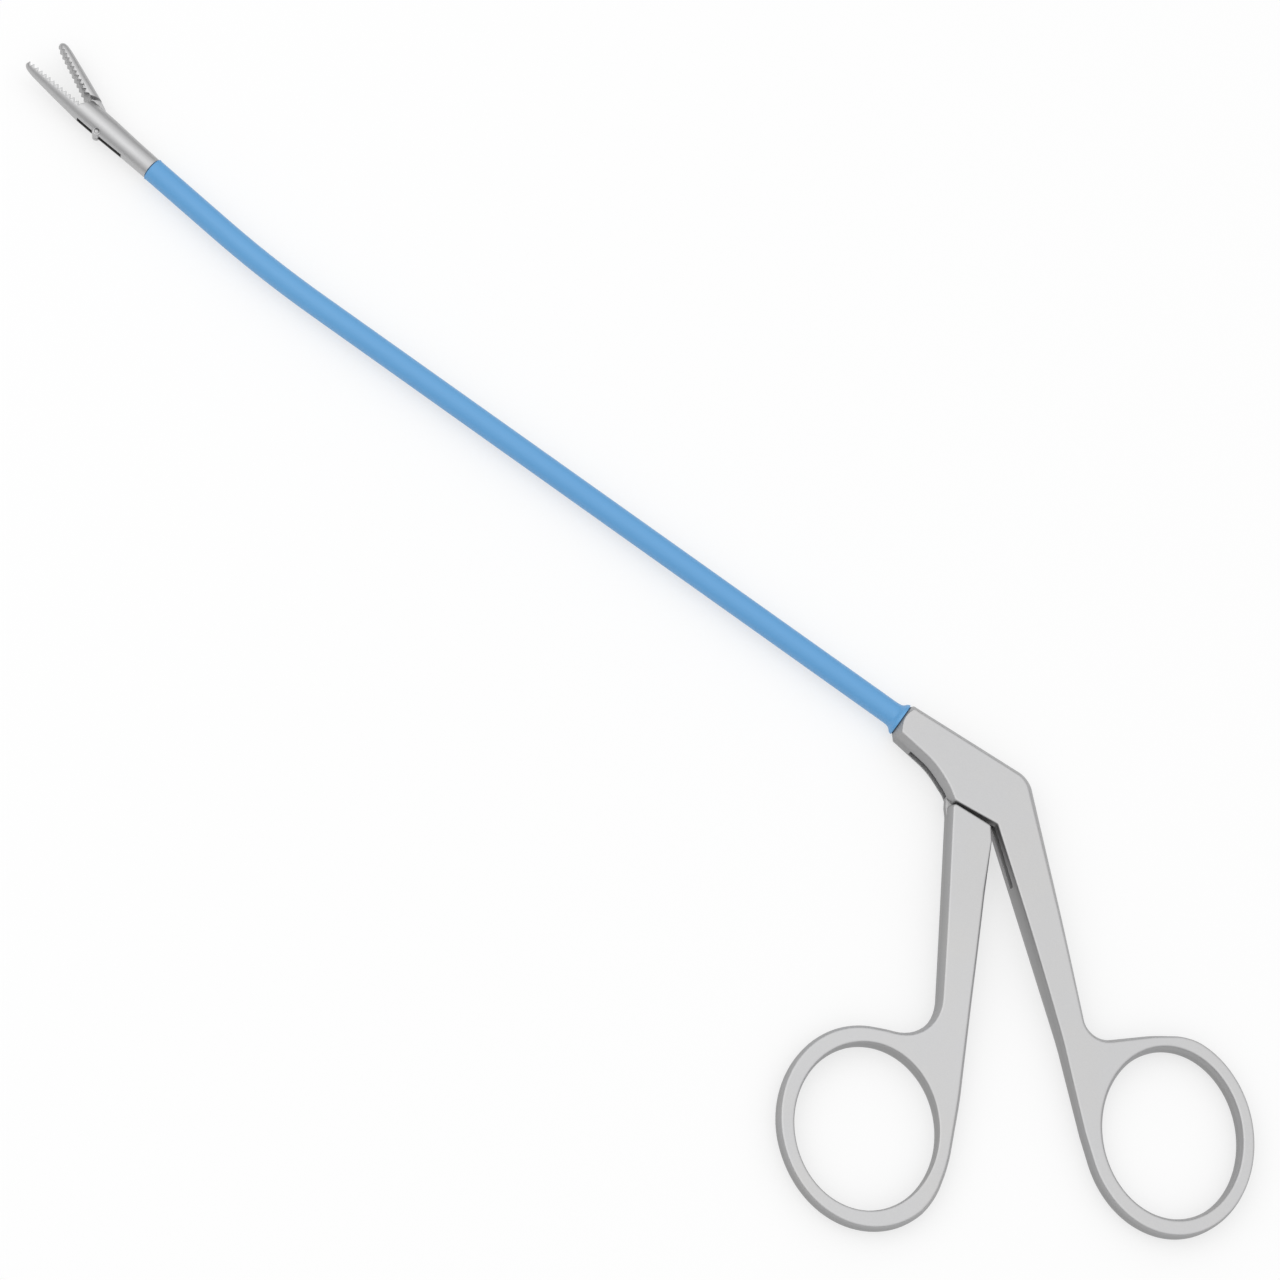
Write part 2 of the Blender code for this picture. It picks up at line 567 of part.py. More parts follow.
def upper_jaw(parts, cutters):
    """Moving toothed jaw, drawn shut so its teeth mesh, then swung open about its pivot."""
    pivot_x, pivot_y = JAW_PIVOT
    pin_x = pivot_x + JAW_ARM * math.sin(JAW_SWING / 2)
    pin_y = pivot_y + JAW_ARM * math.cos(JAW_SWING / 2)
    jaw = mesh_object("upper_jaw", parts, lambda work: lathe(work, [(-a, r) for a, r in head_profile()[4:]], 36))
    jaw.data.transform(Matrix.Diagonal((1, UPPER_FLAT, 1, 1)))
    tip = TOOTH_TIP - TOOTH + BITE_GAP
    root = tip + TOOTH
    below = [(HEEL, 2 * HEAD), (HEEL, HEEL_HIGH), (HEEL + HEEL_STEP, root + 0.05)]
    below += tooth_line(TOOTH_START + 1.5 * PITCH, TEETH - 1, tip, root)
    below += [(JAW_END + 1, root), (JAW_END + 1, 2 * HEAD)]
    keep = plate("bite", cutters, [in_tip_frame(below)], -2 * HEAD, 2 * HEAD)
    combine(jaw, keep, "INTERSECT")
    knuckle = BOSS - 0.04
    rim = TANG_RIM
    outline = rounded([
        (pivot_x - knuckle, pivot_y - knuckle, knuckle - 0.02), (pivot_x + knuckle, pivot_y - knuckle, knuckle - 0.02),
        (HEEL - 0.8, 0.0, 0.6), (HEEL + 2.0, 0.1, 0), (HEEL + 2.0, 0.7, 0), (HEEL + 0.15, 1.3, 0.3),
        (HEEL - 1.6, 1.25, 1.2), (pin_x + 0.6 * rim, pin_y + rim, 0.5), (pin_x - rim, pin_y + rim, 0.5),
        (pin_x - rim, pin_y - rim, 0.3), (pivot_x - knuckle, pivot_y + 0.5, 0.3)])
    tang = plate("tang", parts, [[Vector((-p.x, p.y)) for p in reversed(outline)]], -TANG / 2, TANG / 2)
    combine(jaw, tang, "UNION")
    pivot_hole = cylinder("jaw_hole_cutter", cutters, JAW_PIN + RUN, (-pivot_x, pivot_y, -3), (-pivot_x, pivot_y, 3), 20)
    combine(jaw, pivot_hole, "DIFFERENCE")
    pin_hole = cylinder("fork_hole_cutter", cutters, FORK_PIN + SWAY, (-pin_x, pin_y, -3), (-pin_x, pin_y, 3), 18)
    combine(jaw, pin_hole, "DIFFERENCE")
    centre = Matrix.Translation(Vector((-pivot_x, pivot_y, 0)) * MM)
    jaw.data.transform(centre @ Matrix.Rotation(-JAW_SWING, 4, "Z") @ centre.inverted())
    to_tip_frame(jaw)
    pivot_at(jaw, tip_point(*JAW_PIVOT))
    return jaw


def fork_place():
    """Return where the fork pin stands, ahead and up, with the jaws open."""
    return (JAW_PIVOT[0] - JAW_ARM * math.sin(JAW_SWING / 2), JAW_PIVOT[1] + JAW_ARM * math.cos(JAW_SWING / 2))


def rod_fork(parts, cutters):
    """Fork crimped on the rod's front end, straddling the jaw's tang."""
    ahead, up = fork_place()
    half = FORK_HIGH / 2
    wide = FORK_WIDE / 2
    outline = rounded([
        (FORK_REAR, up - half, 0.2), (ahead + half, up - half, half - 0.01), (ahead + half, up + half, half - 0.01),
        (FORK_REAR, up + half, 0.2)])
    fork = plate("rod_fork", parts, [[Vector((-p.x, p.y)) for p in reversed(outline)]], -wide, wide, 0.08)
    deep = ahead - FORK_DEEP
    opening = in_tip_frame([(deep, -HEAD), (deep, HEAD), (ahead + HEAD, HEAD), (ahead + HEAD, -HEAD)])
    combine(fork, plate("fork_slot_cutter", cutters, [opening], -FORK_SLOT / 2, FORK_SLOT / 2), "DIFFERENCE")
    socket = cylinder("fork_socket_cutter", cutters, ROD + CRIMP, (0, 0, 0), (-(ahead - FORK_SHANK), 0, 0), 20)
    combine(fork, socket, "DIFFERENCE")
    hole = cylinder("fork_pin_cutter", cutters, FORK_PIN + HELD, (-ahead, up, -3), (-ahead, up, 3), 18)
    combine(fork, hole, "DIFFERENCE")
    to_tip_frame(fork)
    return fork


def bush(name, parts, cutters, start, end):
    """Make a short guide bush between two points on an axis."""
    made = cylinder(name, parts, BUSH[0], start, end, 24)
    a, b = Vector(start), Vector(end)
    past = (b - a).normalized() * 2
    combine(made, cylinder(name + "_cutter", cutters, BUSH[1], a - past, b + past, 20), "DIFFERENCE")
    return made


def insulation(parts):
    """Insulation tube, widened to an oval mouth against the handle's nose."""
    path = shaft_path(NOSE_X - BUTT, -BUTT / 2)
    slim = INSULATION[0]
    rise = [(0.0, 1.0), (0.35, 0.85), (0.8, 0.5), (1.3, 0.22), (1.9, 0.06), (2.6, 0.0)]
    flare_path = [(Vector((NOSE_X - BUTT - along, 0, MID)), Vector((-1, 0, 0))) for along, _ in rise]
    flare = [tuple(slim + (mouth - slim) * share for mouth in MOUTH) for _, share in rise]
    sizes = flare + [slim] * (len(path) - 2) + [slim + 0.04]
    return sweep("insulation_sleeve", parts, flare_path + path[1:], sizes, INSULATION[1], 28)


def build():
    """Make every piece and give each its own material."""
    clear_scene()
    parts = collection("endoscopic_grasping_forceps")
    cutters = collection("cutters")
    ahead, up = fork_place()
    x, y = -JAW_PIVOT[0], JAW_PIVOT[1]
    rear = rear_handle(parts, cutters)
    front = front_handle(parts, cutters)
    top = PLATE - PIVOT_COVER - STEP
    pivot = cylinder("handle_pivot_pin", parts, PIVOT_PIN, (*PIVOT, PIVOT_SUNK), (*PIVOT, top), 24, 0.15)
    half = TONGUE / 2 - 0.04
    drive = cylinder("drive_pin", parts, DRIVE_PIN, (*DRIVE, MID - half), (*DRIVE, MID + half), 20, 0.08)
    eye = rod_end_eye(parts, cutters)
    rod = sweep("drive_rod", parts, shaft_path(-ROD_REAR, ahead - FORK_SHANK - STEP), ROD, 0.0, 14)
    nose_end = TUBE_REAR + 2 * STEP
    nose_bush = bush("nose_bush", parts, cutters, (nose_end, 0, MID), (nose_end + NOSE_BUSH, 0, MID))
    liner = sweep("liner_tube", parts, shaft_path(TUBE_REAR, TUBE_TIP - 2 * STEP), *LINER, 16)
    tube = sweep("shaft_tube", parts, shaft_path(TUBE_REAR, TUBE_TIP), TUBE, TUBE_INSIDE, 20)
    blue = insulation(parts)
    sleeve = jaw_sleeve(parts, cutters)
    jaw = upper_jaw(parts, cutters)
    tip_bush = bush("distal_guide_bush", parts, cutters, (-BUSH_REAR, 0, 0), (-BUSH_FRONT, 0, 0))
    to_tip_frame(tip_bush)
    half = BOSS_HALF - 0.02
    jaw_pin = cylinder("jaw_pivot_pin", parts, JAW_PIN, (x, y, -half), (x, y, half), 20, 0.06)
    to_tip_frame(jaw_pin)
    fork = rod_fork(parts, cutters)
    half = FORK_WIDE / 2 - 0.02
    fork_pin = cylinder("fork_pin", parts, FORK_PIN, (-ahead, up, -half), (-ahead, up, half), 18, 0.05)
    to_tip_frame(fork_pin)
    satin = ((0.60, 0.60, 0.61), 1.0, 0.42)
    looks = (
        (rear, "satin_steel_rear_handle", satin),
        (front, "satin_steel_front_handle", satin),
        (pivot, "steel_handle_pivot_pin", ((0.62, 0.62, 0.63), 1.0, 0.3)),
        (drive, "steel_drive_pin", ((0.62, 0.62, 0.63), 1.0, 0.3)),
        (eye, "steel_rod_end_eye", ((0.55, 0.55, 0.56), 1.0, 0.35)),
        (rod, "spring_steel_drive_rod", ((0.58, 0.58, 0.6), 1.0, 0.3)),
        (nose_bush, "white_polymer_nose_bush", ((0.82, 0.82, 0.80), 0.0, 0.45)),
        (liner, "white_polymer_liner", ((0.85, 0.85, 0.84), 0.0, 0.4)),
        (tube, "steel_shaft_tube", ((0.58, 0.58, 0.59), 1.0, 0.35)),
        (blue, "blue_insulation", ((0.16, 0.42, 0.76), 0.0, 0.42)),
        (sleeve, "satin_steel_jaw_sleeve", ((0.57, 0.57, 0.58), 1.0, 0.36)),
        (jaw, "satin_steel_upper_jaw", ((0.57, 0.57, 0.58), 1.0, 0.36)),
        (tip_bush, "white_polymer_tip_bush", ((0.82, 0.82, 0.80), 0.0, 0.45)),
        (jaw_pin, "steel_jaw_pivot_pin", ((0.62, 0.62, 0.63), 1.0, 0.3)),
        (fork, "steel_rod_fork", ((0.55, 0.55, 0.56), 1.0, 0.35)),
        (fork_pin, "steel_fork_pin", ((0.62, 0.62, 0.63), 1.0, 0.3)),
    )
    for item, name, (colour, metallic, roughness) in looks:
        item.data.materials.clear()
        item.data.materials.append(material(name, colour, metallic, roughness))
        for face in item.data.polygons:
            face.material_index = 0
    for spare in list(cutters.objects):
        spare.hide_render = True
        spare.display_type = "WIRE"


build()
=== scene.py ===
"""Endoscopic grasping forceps: the visible pieces and their finishes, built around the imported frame.

All sizes below are in millimetres in the part's own frame; meshes are scaled to metres at the end.
+X runs along the straight shaft to the handles, the rings hang towards -Y and +Z is up.
"""

import logging
import math
from dataclasses import dataclass, field
from enum import Enum

import bmesh
import bpy
from mathutils import Matrix, Vector

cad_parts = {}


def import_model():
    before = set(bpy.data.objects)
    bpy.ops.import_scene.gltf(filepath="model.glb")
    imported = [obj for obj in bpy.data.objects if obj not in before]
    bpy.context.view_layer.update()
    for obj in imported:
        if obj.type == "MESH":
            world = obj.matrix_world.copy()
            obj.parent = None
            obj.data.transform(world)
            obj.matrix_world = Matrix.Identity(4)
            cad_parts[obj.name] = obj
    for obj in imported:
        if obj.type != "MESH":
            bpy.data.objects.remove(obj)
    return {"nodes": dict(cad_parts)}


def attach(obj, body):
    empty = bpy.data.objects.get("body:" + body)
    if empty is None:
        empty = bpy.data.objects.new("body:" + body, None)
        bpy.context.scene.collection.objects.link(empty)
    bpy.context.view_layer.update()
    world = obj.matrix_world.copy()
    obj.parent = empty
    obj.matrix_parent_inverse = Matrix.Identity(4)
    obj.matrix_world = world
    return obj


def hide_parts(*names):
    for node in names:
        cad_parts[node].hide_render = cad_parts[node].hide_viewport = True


LOG = logging.getLogger("forceps")
MM = 0.001
PLATE = 5.5
MID = PLATE / 2
CLOUD_SIZE = 9.0
EDGE_REACH = 0.12
FLOOR_DROP = 0.2
FLOOR_HALF = 3000.0
DISC_FACETS = 144
HOLE_FACETS = 40
PIN_FACETS = 32
OVERSHOOT = 1.0
RUBBED = (0.74, 0.74, 0.75, 1.0)


class Grain(Enum):
    """How a surface was finished."""

    BLASTED = "blasted"
    DRAWN = "drawn"
    GROUND = "ground"
    EXTRUDED = "extruded"


@dataclass(frozen=True)
class Finish:
    """One surface finish.

    Attributes:
        name: Name of the material.
        colour: Base colour, linear.
        grain: How the surface was worked.
        metallic: 1 for metal, 0 for polymer.
        roughness: Mean roughness.
        spread: How much the roughness wanders.
        bump: Height of the grain in millimetres.
        size: Size of the grain in millimetres.
        wear: How much brighter the edges are rubbed.
        tint: Colour that faint stains pull towards.
        flank: Painted shade on the upright sides beside the flat faces, a factor on their colour, 1 for
            none.
    """

    name: str
    colour: tuple[float, float, float]
    grain: Grain
    metallic: float = 1.0
    roughness: float = 0.42
    spread: float = 0.06
    bump: float = 0.004
    size: float = 0.16
    wear: float = 0.25
    tint: tuple[float, float, float] = (0.60, 0.58, 0.54)
    flank: float = 1.0


# flank=0.6 paints shade on the upright sides of the satin steel.
SATIN = Finish("bead_blasted_steel", (0.57, 0.57, 0.575), Grain.BLASTED, roughness=0.5, flank=0.6)
SLEEVE_STEEL = Finish("drawn_satin_steel", (0.52, 0.52, 0.524), Grain.DRAWN, roughness=0.44, bump=0.002,
                      size=0.1)
PIN_STEEL = Finish("ground_pin_steel", (0.48, 0.48, 0.485), Grain.GROUND, roughness=0.42, bump=0.001,
                   size=0.08)
# Painted shade: a dark material for the walls of the slits, standing in for the shade inside them.
SLIT_SHADE_STEEL = Finish("painted_slit_shade", (0.16, 0.16, 0.16), Grain.BLASTED, roughness=0.6, wear=0.0,
                   tint=(0.12, 0.115, 0.11))
BLUE = Finish("blue_insulation_polymer", (0.115, 0.345, 0.645), Grain.EXTRUDED, metallic=0.0,
              roughness=0.36, spread=0.05, bump=0.0016, size=0.5, wear=0.0, tint=(0.16, 0.42, 0.70))
WHITE = Finish("white_slide_polymer", (0.80, 0.80, 0.78), Grain.EXTRUDED, metallic=0.0, roughness=0.42,
               wear=0.0, bump=0.001, size=0.3, tint=(0.74, 0.73, 0.70))
STRETCH = {Grain.DRAWN: 0.06, Grain.EXTRUDED: 0.18}


def add_node(tree: bpy.types.NodeTree, kind: str, sockets: dict | None = None,
             **settings: object) -> bpy.types.Node:
    """Add a shader node, choose its settings, then set or link its inputs.

    Args:
        tree: The tree it goes into.
        kind: Type of the node, without the part that all names share.
        sockets: A constant or another node's output for each input, by name or number.
        settings: Settings of the node itself.

    Returns:
        The node.
    """
    made = tree.nodes.new("ShaderNode" + kind)
    for label, value in settings.items():
        setattr(made, label, value)
    for label, value in (sockets or {}).items():
        if isinstance(value, bpy.types.NodeSocket):
            tree.links.new(value, made.inputs[label])
        else:
            made.inputs[label].default_value = value
    return made


class EffectGroups:
    """Shader node groups that several finishes share."""

    def __init__(self) -> None:
        """Build each group once."""
        self.grain = self._grain()
        self.edge = self._edge()
        self.side = self._side_shade_group()

    @staticmethod
    def _new(name: str, inputs: list[tuple[str, str, float]], outputs: list[tuple[str, str]]) -> tuple:
        """Start a group with named sockets.

        Args:
            name: Name of the group.
            inputs: Name, socket type and default of each input.
            outputs: Name and socket type of each output.

        Returns:
            The group's tree, its input node and its output node.
        """
        tree = bpy.data.node_groups.new(name, "ShaderNodeTree")
        for label, kind, default in inputs:
            socket = tree.interface.new_socket(name=label, in_out="INPUT", socket_type=kind)
            if kind == "NodeSocketFloat":
                socket.default_value = default
        for label, kind in outputs:
            tree.interface.new_socket(name=label, in_out="OUTPUT", socket_type=kind)
        return tree, tree.nodes.new("NodeGroupInput"), tree.nodes.new("NodeGroupOutput")

    def _grain(self) -> bpy.types.ShaderNodeTree:
        """Fine grain and slow clouding from a vector whose axes may be stretched.

        Returns:
            The group, giving Height and Cloud.
        """
        tree, source, target = self._new(
            "surface_grain",
            [("Vector", "NodeSocketVector", 0.0), ("Fine Scale", "NodeSocketFloat", 6000.0),
             ("Cloud Scale", "NodeSocketFloat", 120.0)],
            [("Height", "NodeSocketFloat"), ("Cloud", "NodeSocketFloat")])
        vector = source.outputs["Vector"]
        fine = add_node(tree, "TexNoise", {"Vector": vector, "Scale": source.outputs["Fine Scale"],
                                           "Detail": 3.0, "Roughness": 0.6})
        cloud = add_node(tree, "TexNoise", {"Vector": vector, "Scale": source.outputs["Cloud Scale"],
                                            "Detail": 2.0})
        tree.links.new(fine.outputs["Fac"], target.inputs["Height"])
        tree.links.new(cloud.outputs["Fac"], target.inputs["Cloud"])
        return tree

    def _edge(self) -> bpy.types.ShaderNodeTree:
        """Mask of the rubbed edges, from how far a widened bevel turns the normal.

        Returns:
            The group, giving Mask and the softened Normal.
        """
        tree, source, target = self._new(
            "rubbed_edge", [("Break Up", "NodeSocketFloat", 0.5)],
            [("Mask", "NodeSocketFloat"), ("Normal", "NodeSocketVector")])
        soft = add_node(tree, "Bevel", {"Radius": EDGE_REACH * MM}, samples=4)
        here = add_node(tree, "NewGeometry")
        dot = add_node(tree, "VectorMath", {0: soft.outputs["Normal"], 1: here.outputs["True Normal"]},
                       operation="DOT_PRODUCT")
        spread = add_node(tree, "MapRange", {"Value": dot.outputs["Value"], "From Min": 1.0,
                                             "From Max": 0.9})
        broken = add_node(tree, "Math", {0: spread.outputs["Result"], 1: source.outputs["Break Up"]},
                          operation="MULTIPLY")
        tree.links.new(broken.outputs["Value"], target.inputs["Mask"])
        tree.links.new(soft.outputs["Normal"], target.inputs["Normal"])
        return tree

    def _side_shade_group(self) -> bpy.types.ShaderNodeTree:
        """Mask of the upright sides, from the piece's own normal, for the painted shade on them.

        Returns:
            The group, giving Mask.
        """
        tree, source, target = self._new(
            "painted_side_shade", [("Steep", "NodeSocketFloat", 0.1), ("Level", "NodeSocketFloat", 0.9)],
            [("Mask", "NodeSocketFloat")])
        place = add_node(tree, "TexCoord")
        parts = add_node(tree, "SeparateXYZ", {"Vector": place.outputs["Normal"]})
        rise = add_node(tree, "Math", {0: parts.outputs["Z"]}, operation="ABSOLUTE")
        spread = add_node(tree, "MapRange", {
            "Value": rise.outputs["Value"], "From Min": source.outputs["Steep"],
            "From Max": source.outputs["Level"], "To Min": 1.0, "To Max": 0.0})
        tree.links.new(spread.outputs["Result"], target.inputs["Mask"])
        return tree


class Workshop:
    """Makes and keeps the materials."""

    def __init__(self) -> None:
        """Build the shared groups and start an empty shelf of materials."""
        self.groups = EffectGroups()
        self.shelf: dict[str, bpy.types.Material] = {}

    def material(self, finish: Finish, turn: float = 0.0) -> bpy.types.Material:
        """Return the material for a finish, made on first use.

        Args:
            finish: The finish wanted.
            turn: Direction of drawn grain in the XY plane, in degrees.

        Returns:
            The material.
        """
        key = f"{finish.name}_{round(turn)}" if turn else finish.name
        if key not in self.shelf:
            self.shelf[key] = self._make(key, finish, turn)
        return self.shelf[key]

    def _make(self, name: str, finish: Finish, turn: float) -> bpy.types.Material:
        """Wire up one material.

        Args:
            name: Name of the material.
            finish: The finish to follow.
            turn: Direction of drawn grain, in degrees.

        Returns:
            The new material.
        """
        made = bpy.data.materials.new(name)
        made.use_nodes = True
        tree = made.node_tree
        place = add_node(tree, "TexCoord")
        mapping = add_node(tree, "Mapping", {
            "Vector": place.outputs["Object"], "Rotation": (0.0, 0.0, math.radians(turn)),
            "Scale": (STRETCH.get(finish.grain, 1.0), 1.0, 1.0)})
        grain = add_node(tree, "Group", {
            "Vector": mapping.outputs["Vector"], "Fine Scale": 1.0 / (finish.size * MM),
            "Cloud Scale": 1.0 / (CLOUD_SIZE * MM)}, node_tree=self.groups.grain)
        height = grain.outputs["Height"]
        cloud = add_node(tree, "MapRange", {"Value": grain.outputs["Cloud"], "From Min": 0.42,
                                            "From Max": 0.72, "To Max": 0.16})
        stain = add_node(tree, "Mix", {"Factor": cloud.outputs["Result"], "A": (*finish.colour, 1.0),
                                       "B": (*finish.tint, 1.0)}, data_type="RGBA")
        pale = 0.93 if finish.metallic else 0.97
        peppered = add_node(tree, "Mix", {"Factor": height, "A": stain.outputs["Result"],
                                          "B": (pale, pale, pale, 1.0)},
                            data_type="RGBA", blend_type="MULTIPLY")
        colour = peppered.outputs["Result"]
        bump = add_node(tree, "Bump", {"Height": height, "Strength": 0.7, "Distance": finish.bump * MM})
        if finish.wear > 0:
            edge = add_node(tree, "Group", {"Break Up": finish.wear}, node_tree=self.groups.edge)
            rubbed = add_node(tree, "Mix", {"Factor": edge.outputs["Mask"], "A": colour, "B": RUBBED},
                              data_type="RGBA")
            colour = rubbed.outputs["Result"]
            tree.links.new(edge.outputs["Normal"], bump.inputs["Normal"])
        # Painted shade: the upright sides are multiplied darker by finish.flank, standing in for the
        # dimmer light they catch.
        if finish.flank < 1:
            side = add_node(tree, "Group", {"Steep": 0.1, "Level": 0.9}, node_tree=self.groups.side)
            side_shaded = add_node(tree, "Mix", {"Factor": side.outputs["Mask"], "A": colour,
                                           "B": (finish.flank, finish.flank, finish.flank, 1.0)},
                             data_type="RGBA", blend_type="MULTIPLY")
            colour = side_shaded.outputs["Result"]
        rough = add_node(tree, "MapRange", {"Value": height, "To Min": finish.roughness - finish.spread,
                                            "To Max": finish.roughness + finish.spread})
        shader = tree.nodes["Principled BSDF"]
        shader.inputs["Metallic"].default_value = finish.metallic
        tree.links.new(colour, shader.inputs["Base Color"])
        tree.links.new(bump.outputs["Normal"], shader.inputs["Normal"])
        tree.links.new(rough.outputs["Result"], shader.inputs["Roughness"])
        return made


def to_object(name: str, work: bmesh.types.BMesh, smooth_below: float = 35.0) -> bpy.types.Object:
    """Turn a bmesh drawn in millimetres into an object in metres.

    Args:
        name: Name of the piece.
        work: The bmesh, which is freed.
        smooth_below: Edges sharper than this many degrees stay crisp.

    Returns:
        The new object, linked to the scene.
    """
    bmesh.ops.remove_doubles(work, verts=work.verts, dist=1e-5)
    bmesh.ops.recalc_face_normals(work, faces=work.faces)
    bmesh.ops.scale(work, vec=(MM, MM, MM), verts=work.verts)
    mesh = bpy.data.meshes.new(name)
    work.to_mesh(mesh)
    work.free()
    made = bpy.data.objects.new(name, mesh)
    bpy.context.scene.collection.objects.link(made)
    shade(made, smooth_below)
    return made


def shade(piece: bpy.types.Object, smooth_below: float) -> None:
    """Shade a piece smooth, keeping edges over an angle sharp.

    Args:
        piece: The piece.
        smooth_below: The angle, in degrees.
    """
    for face in piece.data.polygons:
        face.use_smooth = True
    piece.data.set_sharp_from_angle(angle=math.radians(smooth_below))


def boolean(target: bpy.types.Object, tool: bpy.types.Object, operation: str) -> None:
    """Apply a Boolean and drop the tool.

    Args:
        target: The piece to change.
        tool: The other solid.
        operation: DIFFERENCE, UNION or INTERSECT.
    """
    step = target.modifiers.new("cut", "BOOLEAN")
    step.operation = operation
    step.solver = "EXACT"
    step.object = tool
    settle(target)
    bpy.data.objects.remove(tool, do_unlink=True)


def settle(target: bpy.types.Object) -> None:
    """Apply all of a piece's modifiers.

    Args:
        target: The piece.
    """
    bpy.context.view_layer.update()
    graph = bpy.context.evaluated_depsgraph_get()
    mesh = bpy.data.meshes.new_from_object(target.evaluated_get(graph))
    target.modifiers.clear()
    target.data = mesh


def soften(target: bpy.types.Object, width: float, over: float) -> None:
    """Round a piece's sharp edges with a Bevel modifier.

    Args:
        target: The piece.
        width: Width of the rounding in millimetres.
        over: Only edges sharper than this many degrees are rounded.
    """
    step = target.modifiers.new("soft", "BEVEL")
    step.width = width * MM
    step.segments = 2
    step.limit_method = "ANGLE"
    step.angle_limit = math.radians(over)
    step.use_clamp_overlap = True
    settle(target)


def bar(name: str, radius: float, start: tuple, end: tuple, segments: int,
        rim: float = 0.0) -> bpy.types.Object:
    """Make a round bar between two points.

    Args:
        name: Name of the piece.
        radius: Radius in millimetres.
        start: Centre of one end.
        end: Centre of the other end.
        segments: Facets round the bar.
        rim: Rounding of its end edges.

    Returns:
        The bar.
    """
    a, b = Vector(start), Vector(end)
    work = bmesh.new()
    bmesh.ops.create_cone(work, cap_ends=True, segments=segments, radius1=radius, radius2=radius,
                          depth=(b - a).length)
    if rim > 0:
        rims = [e for e in work.edges if abs(e.calc_face_angle(0.0)) > 1.0]
        bmesh.ops.bevel(work, geom=rims, offset=rim, offset_type="OFFSET", segments=4, profile=0.5,
                        affect="EDGES", material=-1)
    turn = Vector((0, 0, 1)).rotation_difference(b - a).to_matrix().to_4x4()
    bmesh.ops.transform(work, matrix=Matrix.Translation((a + b) / 2) @ turn, verts=work.verts)
    return to_object(name, work)


def drill(target: bpy.types.Object, radius: float, start: tuple, end: tuple, segments: int) -> None:
    """Cut a round hole.

    Args:
        target: The piece to cut.
        radius: Radius in millimetres.
        start: Centre of one end.
        end: Centre of the other end.
        segments: Facets round the hole.
    """
    boolean(target, bar("drill", radius, start, end, segments), "DIFFERENCE")


def lathe(name: str, profile: list[tuple[float, float]], segments: int) -> bpy.types.Object:
    """Spin a profile a full turn about the X axis.

    Args:
        name: Name of the piece.
        profile: Place along the axis and radius of each point.
        segments: Facets round the piece.

    Returns:
        The turned solid.
    """
    work = bmesh.new()
    line = [work.verts.new((along, radius, 0)) for along, radius in profile]
    edges = [work.edges.new(pair) for pair in zip(line, line[1:])]
    bmesh.ops.spin(work, geom=line + edges, cent=(0, 0, 0), axis=(1, 0, 0), angle=2 * math.pi,
                   steps=segments, use_merge=True)
    bmesh.ops.remove_doubles(work, verts=work.verts, dist=1e-4)
    bmesh.ops.holes_fill(work, edges=[e for e in work.edges if e.is_boundary], sides=0)
    return to_object(name, work)


def prism(name: str, corners: list[tuple[float, float, float]], low: float,
          high: float) -> bpy.types.Object:
    """Extrude a flat outline with rounded corners.

    Args:
        name: Name of the piece.
        corners: x, y and rounding reach of each corner.
        low: Height of the lower face.
        high: Height of the upper face.

    Returns:
        The prism.
    """
    work = bmesh.new()
    ring = [work.verts.new((x, y, low)) for x, y, _ in corners]
    for here, there in zip(ring, ring[1:] + ring[:1]):
        work.edges.new((here, there))
    round_corners(work, ring, [reach for _, _, reach in corners])
    bmesh.ops.contextual_create(work, geom=work.edges[:])
    raised = bmesh.ops.extrude_face_region(work, geom=work.faces[:])
    lifted = [v for v in raised["geom"] if isinstance(v, bmesh.types.BMVert)]
    bmesh.ops.translate(work, vec=(0, 0, high - low), verts=lifted)
    return to_object(name, work)


def round_corners(work: bmesh.types.BMesh, verts: list, reaches: list[float], segments: int = 12) -> None:
    """Round chosen corners of a wire outline with vertex bevels.

    Args:
        work: The bmesh.
        verts: The corner vertices.
        reaches: How far along its edges each rounding starts; 0 leaves a corner sharp.
        segments: Steps in each rounding.
    """
    for vert, reach in zip(verts, reaches):
        if reach > 0:
            bmesh.ops.bevel(work, geom=[vert], offset=reach, offset_type="OFFSET", segments=segments,
                            profile=0.5, affect="VERTICES", material=-1)


def reach_of(before: tuple, corner: tuple, after: tuple) -> float:
    """Return how far from a corner a rounding of the radius in corner[2] starts.

    Args:
        before: The corner before it.
        corner: x, y and radius.
        after: The corner after it.

    Returns:
        The distance along both edges.
    """
    if corner[2] <= 0:
        return 0.0
    here = Vector(corner[:2])
    angle = (Vector(before[:2]) - here).angle(Vector(after[:2]) - here)
    return corner[2] / math.tan(angle / 2)


@dataclass(frozen=True)
class Slit:
    """The room of a cut whose walls get painted shade from a dark material.

    Attributes:
        frame: Transform from the cut's own frame, in metres.
        half: Half the cut's width across Z, in millimetres.
        low: Least x and y of the walls, in millimetres.
        high: Greatest x and y of the walls, in millimetres.
        disc: Centre and radius of a round end wall, in millimetres.
    """

    frame: Matrix
    half: float
    low: tuple[float, float]
    high: tuple[float, float]
    disc: tuple[float, float, float] | None = None

    def holds(self, face: bpy.types.MeshPolygon) -> bool:
        """Say whether a face is one of the cut's walls.

        Args:
            face: The face.

        Returns:
            True for a wall.
        """
        spot = self.frame.inverted() @ face.center / MM
        if self.disc and abs(spot.z) < self.half:
            across, along, radius = self.disc
            return abs(math.hypot(spot.x - across, spot.y - along) - radius) < 0.04
        inside = self.low[0] <= spot.x <= self.high[0] and self.low[1] <= spot.y <= self.high[1]
        return inside and abs(face.normal.z) > 0.98 and abs(abs(spot.z) - self.half) < 0.02


